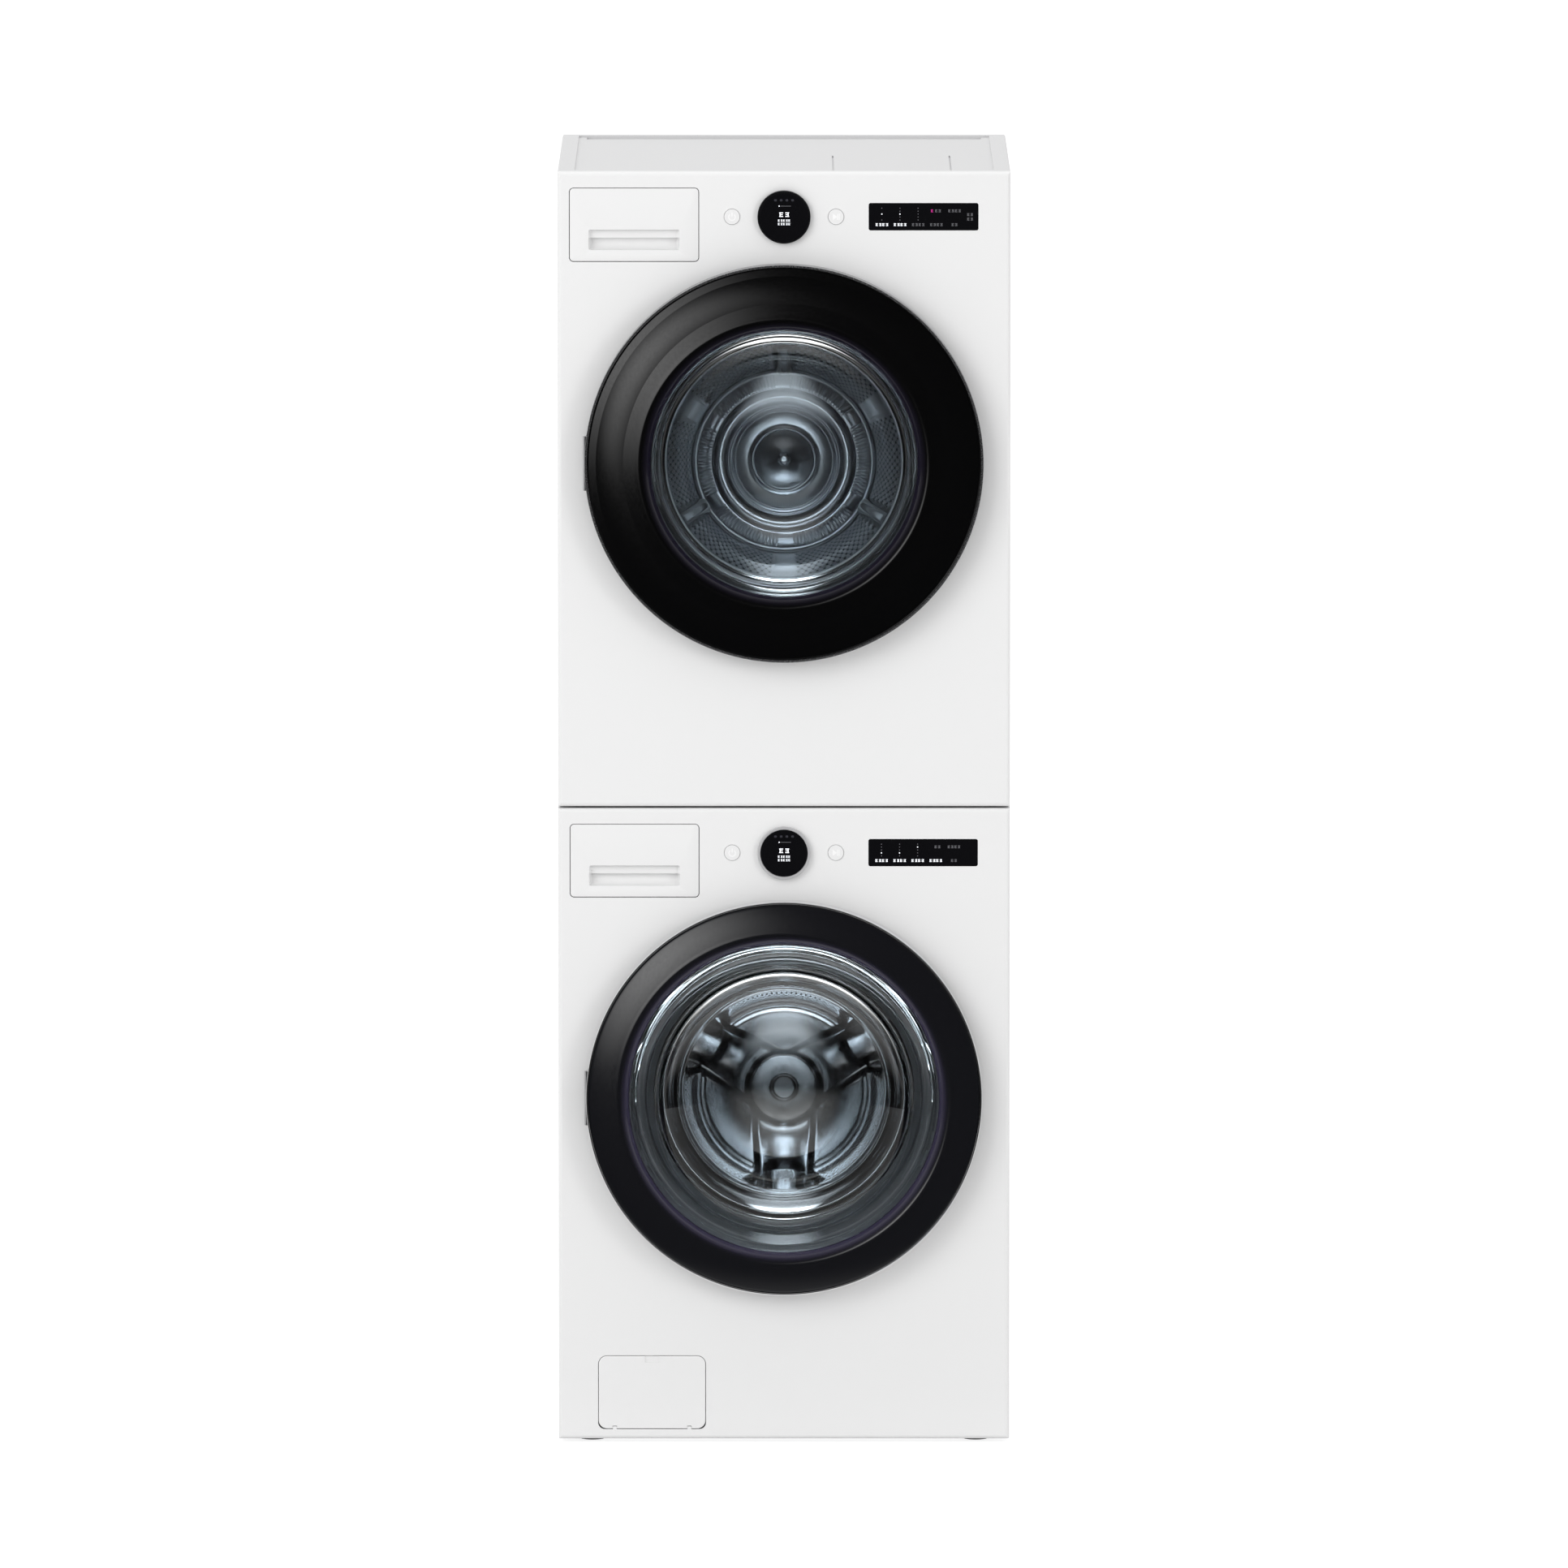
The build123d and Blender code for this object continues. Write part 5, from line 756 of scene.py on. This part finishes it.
disc = [(tumbler_radius - 1.2, level), (tumbler_radius - 1.3, level - 14)]
disc += bend(disc[-1], (283.5, level - 4.5), (274, level - 1), 6)
disc += [(270, level - 3.5), (220, level - 4.5), (212, level - 2)]
disc += bend((212, level - 2), (181, level - 20), (150, level - 4), 28)
disc += [(147, level - 2)] + bead(141, 4, 4) + [(134, level - 1.0)] + bead(129, 3, 3) + [(97, level - 3.0)]
disc += bead(82, 3.2, 3.5) + [(77, level - 2)]
disc += bend((77, level - 2), (46, level - 8), (15, level - 21), 20)
disc += [(14, level - 24.5), (13.2, level - 32), (11, level - 34), (6.2, level - 34.4), (5.8, level - 32),
         (0, level - 32)]
back_side = [(radius, y + 1.6) for radius, y in reversed(disc[2:-3])]
disc += [(0, level - 30.4)] + back_side[:-1] + [(tumbler_radius - 1.3, level + 0.6)]
shape = turned_shape(disc, steps=256)
shape.transform(dryer_place)
dryer_back = add_piece("dryer_drum_disc", shape, spun_steel, sharp=60)
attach(dryer_back, "dryer_drum")
flute = bmesh.new()
flutes = []
for j in range(5):
    out_by = -1 + 2 * j / 4
    flutes.append([flute.verts.new((0.0037 * side, -0.0026 * (1 - side * side) * (1 - out_by ** 4) - 0.0002,
                                    0.027 * out_by))
                   for side in (-1, -0.4, 0.4, 1)])
for low, high in zip(flutes, flutes[1:]):
    for k in range(3):
        flute.faces.new((low[k], low[k + 1], high[k + 1], high[k]))
mesh = bpy.data.meshes.new("flute")
flute.to_mesh(mesh)
flute.free()
flute_part = bpy.data.objects.new("flute", mesh)
bpy.context.collection.objects.link(flute_part)
back_flutes = repeated("dryer_back_flutes", flute_part, spun_steel, dryer_place, columns=144, rows=1, radius=0.241,
                       start=(level - 4.0) / 1000, gaps=6, gap_half=math.radians(5), first_gap=0.0)
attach(back_flutes, "dryer_drum")
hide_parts("dryer_drum_back")

# --- Door seal --------------------------------------------------------------------------
# A grey rubber bellows clamped to the front panel. Its soft lip closes on the glass bowl.
seal_grey = moulded("seal_grey", (0.05, 0.052, 0.056), rough=0.55, drift=0.06, peel_scale=1500)
dress(seal_grey, "washer_gasket")

# --- Drawers ----------------------------------------------------------------------------
# The washer's detergent tray and the dryer's water tank pull straight out of moulded
# housings. Each white front is one moulding with a two-step finger pocket near its foot.
drawer_x = -0.2315
drawer_half = (0.0995, 0.0565)
pocket_x = (-0.3025, -0.1605)
pocket_low, pocket_high = 0.017, 0.049


def pocket_depth(across, up):
    """How far the finger pocket goes back, across and up in metres from its lower left corner."""
    wide, tall = pocket_x[1] - pocket_x[0], pocket_high - pocket_low
    over_x = max(abs(across - wide / 2) - wide / 2 + 0.004, 0.0)
    over_z = max(abs(up - tall / 2) - tall / 2 + 0.004, 0.0)
    corners = soft(0.004 - math.hypot(over_x, over_z), 0.0, 0.0012)
    ends = soft(min(across, wide - across), 0.0, 0.0050)
    scoop = 0.019 * math.sqrt(max(0.0, 1 - ((0.0188 - up) / 0.0188) ** 2)) if up < 0.0188 else 0.0
    return ends * corners * (scoop if up < 0.0187 else 0.0085)


def drawer_front(name, body, machine_top):
    """Rounded white face with its finger pocket and an edge that folds back."""
    foot = machine_top - 0.025 - 2 * drawer_half[1]
    wide, tall = pocket_x[1] - pocket_x[0], pocket_high - pocket_low
    steps = [0.5 - 0.5 * math.cos(math.pi * i / 64) for i in range(65)]
    levels = [0.0186 * (k / 22) ** 1.6 for k in range(23)]
    levels += [0.0188 + (tall - 0.0020 - 0.0188) * k / 7 for k in range(8)]
    levels += [tall - 0.0020 + 0.0004 * k for k in range(1, 6)]
    shape = bmesh.new()
    pocket = [[shape.verts.new((pocket_x[0] + wide * step, face_plane + pocket_depth(wide * step, up),
                                foot + pocket_low + up)) for step in steps] for up in levels]
    for low, high in zip(pocket, pocket[1:]):
        for i in range(64):
            shape.faces.new((low[i], low[i + 1], high[i + 1], high[i]))
    mouth = [edge for edge in shape.edges if edge.is_boundary]
    loops = []
    for inset, back in ((0.0010, 0.0), (0.0004, 0.0002), (0.0, 0.0010), (0.0, 0.0140)):
        loop = []
        for sx, sz, first in ((1, 1, 0), (-1, 1, 90), (-1, -1, 180), (1, -1, 270)):
            for k in range(9):
                turn = math.radians(first + 11.25 * k)
                loop.append(shape.verts.new((drawer_x + sx * (drawer_half[0] - 0.006) + (0.006 - inset) * math.cos(turn),
                                             face_plane + back,
                                             foot + drawer_half[1] + sz * (drawer_half[1] - 0.006)
                                             + (0.006 - inset) * math.sin(turn))))
        loops.append(loop)
    for inner, outer in zip(loops, loops[1:]):
        for k in range(36):
            n = (k + 1) % 36
            shape.faces.new((inner[k], inner[n], outer[n], outer[k]))
    rim = [shape.edges.get((loops[0][k], loops[0][(k + 1) % 36])) for k in range(36)]
    bmesh.ops.triangle_fill(shape, use_beauty=True, use_dissolve=False, edges=mouth + rim, normal=(0, -1, 0))
    bmesh.ops.recalc_face_normals(shape, faces=shape.faces)
    if sum(face.normal.y * face.calc_area() for face in shape.faces) > 0:
        bmesh.ops.reverse_faces(shape, faces=shape.faces)
    bmesh.ops.solidify(shape, geom=shape.faces[:], thickness=0.0018)
    piece = add_piece(name, shape, face_white, sharp=42)
    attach(piece, body)
    return piece


washer_drawer = drawer_front("washer_drawer_face", "washer_drawer", 0.992)
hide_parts("washer_drawer_front")
dryer_drawer = drawer_front("dryer_tank_face", "dryer_tank", 1.980)
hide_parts("dryer_tank_front")
tray_white = moulded("tray_white", (0.70, 0.72, 0.74), rough=0.3, drift=0.03, peel_scale=1300)
dress(tray_white, "washer_detergent_tray", "dryer_tank")
housing_grey = moulded("housing_grey", (0.22, 0.22, 0.23), rough=0.55, drift=0.06, peel_scale=1400)
dress(housing_grey, "drawer_housings")

# --- Dials and their displays -----------------------------------------------------------
# A turning ring of cast metal, bright on the washer and dark on the dryer, runs round a
# fixed round display of black glass. Its lit marks are dots, bars and the time left.
gloss_black = moulded("gloss_black", (0.004, 0.004, 0.005), rough=0.14, drift=0.1, peel_scale=400,
                      peel_depth=0.000002, specular=0.3)
dress(gloss_black, "display_windows")
dial_silver = moulded("dial_silver", (0.66, 0.66, 0.67), rough=0.42, drift=0.05, peel_scale=600,
                      peel_depth=0.000004, metal=0.35)
dress(dial_silver, "washer_dial_ring")
dial_dark = moulded("dial_dark", (0.05, 0.05, 0.055), rough=0.3, drift=0.08, peel_scale=600,
                    peel_depth=0.000004, metal=0.8)
dress(dial_dark, "dryer_dial_ring")


def lit(name, colour, glow):
    """Ink or a light behind smoked glass, a little uneven."""
    finish = moulded(name, colour, rough=0.4, drift=0.1, peel_scale=3000)
    shader = finish.node_tree.nodes["Principled BSDF"]
    skin = [n for n in finish.node_tree.nodes if n.type == "GROUP"][0]
    finish.node_tree.links.new(skin.outputs["Colour"], shader.inputs["Emission Color"])
    shader.inputs["Emission Strength"].default_value = glow
    return finish


mark_white = lit("mark_white", (0.75, 0.77, 0.80), 0.9)
mark_dim = lit("mark_dim", (0.11, 0.11, 0.12), 0.6)
mark_faint = lit("mark_faint", (0.025, 0.025, 0.032), 0.6)
mark_rose = lit("mark_rose", (0.42, 0.02, 0.20), 0.8)
control_drop = 0.069
marks_proud = 0.0002


def flat_mark(shape, x, z, width, height, y, corner=0.35):
    """Small flat lozenge facing the room, centre and size in metres."""
    points = []
    radius = min(width, height) * corner
    for sx, sz, first in ((1, 1, 0), (-1, 1, 90), (-1, -1, 180), (1, -1, 270)):
        for k in range(4):
            turn = math.radians(first + 30 * k)
            points.append((x + sx * (width / 2 - radius) + radius * math.cos(turn), y,
                           z + sz * (height / 2 - radius) + radius * math.sin(turn)))
    shape.faces.new([shape.verts.new(point) for point in reversed(points)])


def word_marks(shape, x, z, letters, y, size=0.0046):
    """Row of short stacked strokes that stands for a printed word."""
    for k in range(letters):
        left = x + (k - (letters - 1) / 2) * size * 1.12
        for row, share in enumerate((0.86, 0.55, 0.86)):
            flat_mark(shape, left + (0.07 * size if (row + k) % 2 else 0), z + (1 - row) * size * 0.36,
                      size * share * 0.9, size * 0.17, y)
        flat_mark(shape, left + (0.26 if k % 2 else -0.22) * size, z, size * 0.17, size * 0.82, y)


def marks_piece(name, shape, finish, body="root"):
    piece = add_piece(name, shape, finish)
    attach(piece, body)
    return piece


for machine, machine_top, glass_y in (("washer", 0.992, -0.3765), ("dryer", 1.980, -0.3765)):
    level_z = machine_top - control_drop
    y = glass_y - marks_proud
    bright = bmesh.new()
    word_marks(bright, 0, level_z + 0.004, 2, y, 0.0078)
    word_marks(bright, 0, level_z - 0.0052, 5, y, 0.0036)
    word_marks(bright, 0, level_z - 0.0106, 5, y, 0.0036)
    flat_mark(bright, -0.0075, level_z + 0.0172, 0.0019, 0.0019, y, 0.5)
    marks_piece(machine + "_dial_marks", bright, mark_white)
    low_light = bmesh.new()
    flat_mark(low_light, 0.0025, level_z + 0.0172, 0.0165, 0.0006, y)
    marks_piece(machine + "_dial_line", low_light, mark_dim)
    faint = bmesh.new()
    for k in range(4):
        flat_mark(faint, (k - 1.5) * 0.0088, level_z + 0.0262, 0.0042, 0.0034, y)
    marks_piece(machine + "_dial_icons", faint, mark_faint)

# --- Touch strips -----------------------------------------------------------------------
# A flush strip of black glass on the right of each machine. Three columns of small lamps
# show the settings, with word-like strokes below them and dimmer ones beside them.
strip_columns = (0.151, 0.179, 0.207)
lamp_step = 0.00457
for machine, machine_top, lit_rows, counts, shine in (
    ("dryer", 1.980, (2, 2, None), (3, 5, 5), (True, True, False, False)),
    ("washer", 0.992, (3, 3, 1), (5, 5, 5), (True, True, True, True)),
):
    level_z = machine_top - control_drop
    y = face_plane - 0.0001 - marks_proud
    bright, dim = bmesh.new(), bmesh.new()
    for x, lit_row, count in zip(strip_columns, lit_rows, counts):
        for row in range(5):
            if count == 3 and row % 2:
                continue
            z = level_z + 0.0133 - row * lamp_step
            size = 0.0019 if row == lit_row else 0.0014
            flat_mark(bright if row == lit_row else dim, x, z, size, size, y, 0.5)
    for x, letters, on in zip((0.151, 0.179, 0.207, 0.235), (4, 4, 4, 4), shine):
        word_marks(bright if on else dim, x, level_z - 0.0123, letters, y)
    word_marks(dim, 0.263, level_z - 0.0123, 2, y)
    word_marks(dim, 0.263, level_z + 0.0091, 4, y)
    word_marks(dim, 0.2375, level_z + 0.0091, 2, y)
    if machine == "dryer":
        word_marks(dim, 0.287, level_z + 0.0033, 2, y)
        word_marks(dim, 0.287, level_z - 0.0036, 2, y)
        rose = bmesh.new()
        word_marks(rose, 0.2285, level_z + 0.0091, 1, y)
        marks_piece("dryer_strip_rose", rose, mark_rose)
    marks_piece(machine + "_strip_marks", bright, mark_white)
    marks_piece(machine + "_strip_dim_marks", dim, mark_dim)

# --- Keys -------------------------------------------------------------------------------
# Two white push keys flank each dial, with a raised power sign and a start and pause sign in a lighter white, which
# is painted highlight for the light the raised signs catch.
key_white = moulded("key_white", (0.84, 0.84, 0.84), rough=0.3, drift=0.02, peel_scale=1500)
dress(key_white, "washer_power_button", "washer_start_button", "dryer_power_button", "dryer_start_button")
# The signs stand only 0.1 mm proud, so their lighter white is a painted highlight and not the key's own colour.
sign_white = moulded("sign_white", (0.97, 0.97, 0.97), rough=0.25, drift=0.01, peel_scale=1500)
key_offset = 0.0803
for machine, machine_top in (("washer", 0.992), ("dryer", 1.980)):
    level_z = machine_top - control_drop
    key_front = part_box(machine + "_power_button")[0][1]
    y = key_front - 0.0001
    power = bmesh.new()
    ring = []
    for k in range(33):
        turn = math.radians(38 + 284 * k / 32)
        ring.append([power.verts.new((-key_offset + radius * math.sin(turn), y,
                                      level_z - 0.0004 + radius * math.cos(turn)))
                     for radius in (0.0042, 0.0060)])
    for low, high in zip(ring, ring[1:]):
        power.faces.new((low[0], high[0], high[1], low[1]))
    flat_mark(power, -key_offset, level_z + 0.0036, 0.0018, 0.0062, y, 0.3)
    piece = add_piece(machine + "_power_sign", power, sign_white)
    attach(piece, machine + "_power_button")
    start = bmesh.new()
    corners = [(-0.0050, 0.0052), (0.0016, 0.0), (-0.0050, -0.0052)]
    start.faces.new([start.verts.new((key_offset + x, y, level_z + z)) for x, z in corners])
    flat_mark(start, key_offset + 0.0024, level_z, 0.0017, 0.0098, y, 0.2)
    flat_mark(start, key_offset + 0.0050, level_z, 0.0017, 0.0098, y, 0.2)
    piece = add_piece(machine + "_start_sign", start, sign_white)
    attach(piece, machine + "_start_button")

# --- Door frames ------------------------------------------------------------------------
# The black front of each door is a moulded glossy ring, crowned next to a hollow lip that
# runs down to the glass and thin at its outer edge. It snaps over the door's back ring.
crown_plane = -0.415


def turn_piece(name, outline, axis_z, finish, steps=224, closed=True, sharp=38):
    """Piece turned about a door's axis from (radius, y) points in millimetres."""
    shape = turned_shape(outline, steps, closed)
    shape.transform(Matrix.Translation((0, 0, axis_z)))
    return add_piece(name, shape, finish, sharp)


def box_mesh(shape, low, high):
    corners = [Vector(((low, high)[a][0], (low, high)[b][1], (low, high)[c][2]))
               for a in (0, 1) for b in (0, 1) for c in (0, 1)]
    verts = [shape.verts.new(corner) for corner in corners]
    for face in ((0, 1, 3, 2), (4, 6, 7, 5), (0, 4, 5, 1), (2, 3, 7, 6), (0, 2, 6, 4), (1, 5, 7, 3)):
        shape.faces.new([verts[k] for k in face])


def as_plain_mesh(piece):
    """The piece with its modifiers worked in."""
    evaluated = piece.evaluated_get(bpy.context.evaluated_depsgraph_get())
    mesh = bpy.data.meshes.new_from_object(evaluated)
    piece.modifiers.clear()
    piece.data = mesh
    return piece


def cut_away(piece, low, high):
    """Takes a box out of a piece, as for the hinge."""
    shape = bmesh.new()
    box_mesh(shape, low, high)
    bmesh.ops.recalc_face_normals(shape, faces=shape.faces)
    mesh = bpy.data.meshes.new("cut")
    shape.to_mesh(mesh)
    shape.free()
    cutter = bpy.data.objects.new("cut", mesh)
    bpy.context.collection.objects.link(cutter)
    cut = piece.modifiers.new("cut", "BOOLEAN")
    cut.operation = "DIFFERENCE"
    cut.solver = "EXACT"
    cut.object = cutter
    as_plain_mesh(piece)
    bpy.data.objects.remove(cutter)
    piece.data.set_sharp_from_angle(angle=math.radians(38))
    return piece


def ring_black(name, axis_z, sheen_inner, sheen_outer, black, lip_painted_sheen, specular):
    """Deep gloss black with a faint violet painted sheen on the hollow lip: a base colour that stands in for the
    light the lip catches.
    """
    finish = moulded(name, black, rough=0.17, drift=0.1, peel_scale=260, peel_depth=0.0000015,
                     specular=specular)
    tint_near_axis(finish, axis_z, sheen_inner, sheen_outer, lip_painted_sheen)
    return finish


def door_frame(name, axis_z, outer, glass, lip, slope, finish):
    """Ring from its outer edge over an almost straight slope and the crest to the glass."""
    crown = crown_plane * 1000
    crest = (glass + lip + 10, crown + 0.5)
    shoulder = (outer - 2.6, crown + 0.5 + (outer - 2.6 - crest[0]) * slope)
    edge = (outer, crown + 12)
    middle = (crest[0] + outer) / 2
    lip_top = (glass + lip, crown + 1.6)
    low = (glass, crown + 15)
    outline = [edge] + bend(edge, (outer - 0.7, (edge[1] + shoulder[1]) / 2 - 0.8), shoulder, 6)
    half_way = ((shoulder[0] + crest[0]) / 2, (shoulder[1] + crest[1]) / 2 - 0.5)
    outline += bend(shoulder, half_way, crest, 14)
    outline += bend(crest, (glass + lip + 5, crown), lip_top, 5)
    outline += bend(lip_top, (glass + lip * 0.42, crown + 6.1), low, 18)
    outline += [(glass, crown + 18), (glass + 5, crown + 18), (glass + lip, crown + 6.6), (crest[0], crown + 3)]
    outline += bend(outline[-1], (middle - 1, crown + 5.7), (outer - 3, crown + 14.5), 14)
    outline += [(outer - 3, -374), (outer, -374)]
    frame_piece = turn_piece(name, outline, axis_z, finish, steps=288)
    left = -(outer + 3.5) / 1000
    cut_away(frame_piece, (left - 0.001, -0.399, axis_z - 0.0435), (left + 0.012, -0.3665, axis_z + 0.0435))
    return frame_piece


# The violet towards each glass is painted sheen, a base colour standing in for the light that the hollow lip
# catches.
washer_black = ring_black("washer_ring_black", washer_axis, 0.241, 0.256, (0.0048, 0.0050, 0.0066),
                          (0.03, 0.026, 0.05), 0.5)
dryer_black = ring_black("dryer_ring_black", dryer_axis, 0.207, 0.222, (0.0012, 0.0012, 0.0014),
                         (0.009, 0.0075, 0.015), 0.34)
washer_frame = door_frame("washer_door_black", washer_axis, 303.5, 240, 12, 0.195, washer_black)
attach(washer_frame, "washer_door")
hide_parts("washer_door_frame")
dryer_frame = door_frame("dryer_door_black", dryer_axis, 304.5, 206, 12, 0.175, dryer_black)
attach(dryer_frame, "dryer_door")
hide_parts("dryer_door_frame")
ring_glow = soft_box("ring_soft_box", (-4.5, -14.3, 3.6), (0, -0.4, 1.04), 10.0, 10.0, 1500)
ring_glow.visible_glossy = True
ring_glow.data.use_nodes = True
tree = ring_glow.data.node_tree
facing = tree.nodes.new("ShaderNodeNewGeometry")
off_centre = tree.nodes.new("ShaderNodeVectorMath")
off_centre.operation = "DISTANCE"
off_centre.inputs[1].default_value = (0.5, 0.5, 0)
tree.links.new(facing.outputs["Parametric"], off_centre.inputs[0])
tree.links.new(ramp(tree, off_centre.outputs["Value"], 0.5, 0.0), tree.nodes["Emission"].inputs["Strength"])
black_rings = bpy.data.collections.new("black_rings")
black_rings.objects.link(washer_frame)
black_rings.objects.link(dryer_frame)
ring_glow.light_linking.receiver_collection = black_rings

# --- Door rims --------------------------------------------------------------------------
# A thin bright hoop on the washer and a grey one with two fine beads on the dryer close
# the joint between the door's front and back.
rim_bright = moulded("rim_bright", (0.80, 0.80, 0.81), rough=0.16, drift=0.05, peel_scale=500,
                     peel_depth=0.000002, metal=1.0)
rim_grey = moulded("rim_grey", (0.34, 0.34, 0.35), rough=0.26, drift=0.05, peel_scale=500,
                   peel_depth=0.000002, metal=0.9)
hoop = [(307, -371), (307, -405.2)]
hoop += bend((307, -405.2), (305.25, -407), (303.5, -405.2), 8)
hoop += [(303.5, -371)]
washer_rim = turn_piece("washer_door_rim", hoop, washer_axis, rim_bright, steps=288)
cut_away(washer_rim, (-0.308, -0.399, washer_axis - 0.0435), (-0.295, -0.3665, washer_axis + 0.0435))
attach(washer_rim, "washer_door")
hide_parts("washer_door_ring")
hoop = [(308, -371), (308, -405.4)]
hoop += bend((308, -405.4), (307.2, -407), (306.4, -405.8), 6)
hoop += [(306.1, -405.0)]
hoop += bend((306.1, -405.0), (305.3, -406.6), (304.5, -405.2), 6)
hoop += [(304.5, -371)]
dryer_rim = turn_piece("dryer_door_rim", hoop, dryer_axis, rim_grey, steps=288)
cut_away(dryer_rim, (-0.309, -0.399, dryer_axis - 0.0435), (-0.296, -0.3665, dryer_axis + 0.0435))
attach(dryer_rim, "dryer_door")
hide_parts("dryer_door_ring")

# --- Glass bowls ------------------------------------------------------------------------
# Each door holds a thick pressed glass bowl. Its room side is hollow like a dish, its drum
# side a blunt cone, so the drum behind looks smaller and repeats along the cone's wall.
bowl_glass = bpy.data.materials.new("bowl_glass")
bowl_glass.use_nodes = True
tree = bowl_glass.node_tree
shader = tree.nodes["Principled BSDF"]
shader.inputs["Transmission Weight"].default_value = 1.0
shader.inputs["IOR"].default_value = 1.5
tint = tree.nodes.new("ShaderNodeTexNoise")
tint.inputs["Scale"].default_value = 7
spot = tree.nodes.new("ShaderNodeTexCoord")
tree.links.new(spot.outputs["Object"], tint.inputs["Vector"])
tone = tree.nodes.new("ShaderNodeMix")
tone.data_type = "RGBA"
tone.inputs["A"].default_value = (0.93, 0.96, 0.95, 1)
tone.inputs["B"].default_value = (0.96, 0.97, 0.985, 1)
tree.links.new(tint.outputs[0], tone.inputs["Factor"])
tree.links.new(tone.outputs["Result"], shader.inputs["Base Color"])
smear = tree.nodes.new("ShaderNodeMapRange")
smear.inputs["To Min"].default_value = 0.0
smear.inputs["To Max"].default_value = 0.012
tree.links.new(tint.outputs[0], smear.inputs["Value"])
tree.links.new(smear.outputs[0], shader.inputs["Roughness"])
clear = tree.nodes.new("ShaderNodeBsdfTransparent")
clear.inputs["Color"].default_value = (0.93, 0.95, 0.95, 1)
path = tree.nodes.new("ShaderNodeLightPath")
through = tree.nodes.new("ShaderNodeMixShader")
tree.links.new(path.outputs["Is Shadow Ray"], through.inputs[0])
tree.links.new(shader.outputs[0], through.inputs[1])
tree.links.new(clear.outputs[0], through.inputs[2])
tree.links.new(through.outputs[0], tree.nodes["Material Output"].inputs["Surface"])


def glass_bowl(name, axis_z, edge, waist, nose, nose_y, end_y, corner, dish_edge, dish_y):
    seat = -397.0
    radius = (dish_edge ** 2 + (dish_y - seat - 1) ** 2) / (2 * (dish_y - seat - 1))
    outline = [(0, dish_y)]
    dish = []
    for k in range(1, 49):
        r = dish_edge * k / 48
        dish.append((r, dish_y - radius + math.sqrt(radius ** 2 - r ** 2)))
    outline += dish
    outline += bend(dish[-1], (dish_edge + 1.6, seat + 0.2), (dish_edge + 4, seat), 5)
    outline += [(edge + 14, seat), (edge + 14, seat + 5), (edge, seat + 5)]
    outline += bend((edge, seat + 5), (edge - 3, seat + 7.5), (edge - 7, seat + 11), 4)
    outline += [(waist, -365.3), (nose, nose_y)]
    outline += bend((nose, nose_y), (nose - corner * 0.3, end_y - corner * 0.22), (nose - corner, end_y - 1.5), 10)
    outline += [(nose * 0.45, end_y - 0.3), (0, end_y)]
    return turn_piece(name, outline, axis_z, bowl_glass, steps=224, closed=False, sharp=60)


washer_bowl = glass_bowl("washer_bowl", washer_axis, 240, 206, 180, -281, -261, 14, 226, -283)
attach(washer_bowl, "washer_door")
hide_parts("washer_door_glass")
dryer_bowl = glass_bowl("dryer_bowl", dryer_axis, 206, 201, 196, -327, -321, 6, 197, -344)
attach(dryer_bowl, "dryer_door")
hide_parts("dryer_door_window")
door_dark = moulded("door_dark", (0.035, 0.036, 0.04), rough=0.5, drift=0.06, peel_scale=1200)
dress(door_dark, "washer_door_inner", "dryer_door_inner")

low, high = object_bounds()
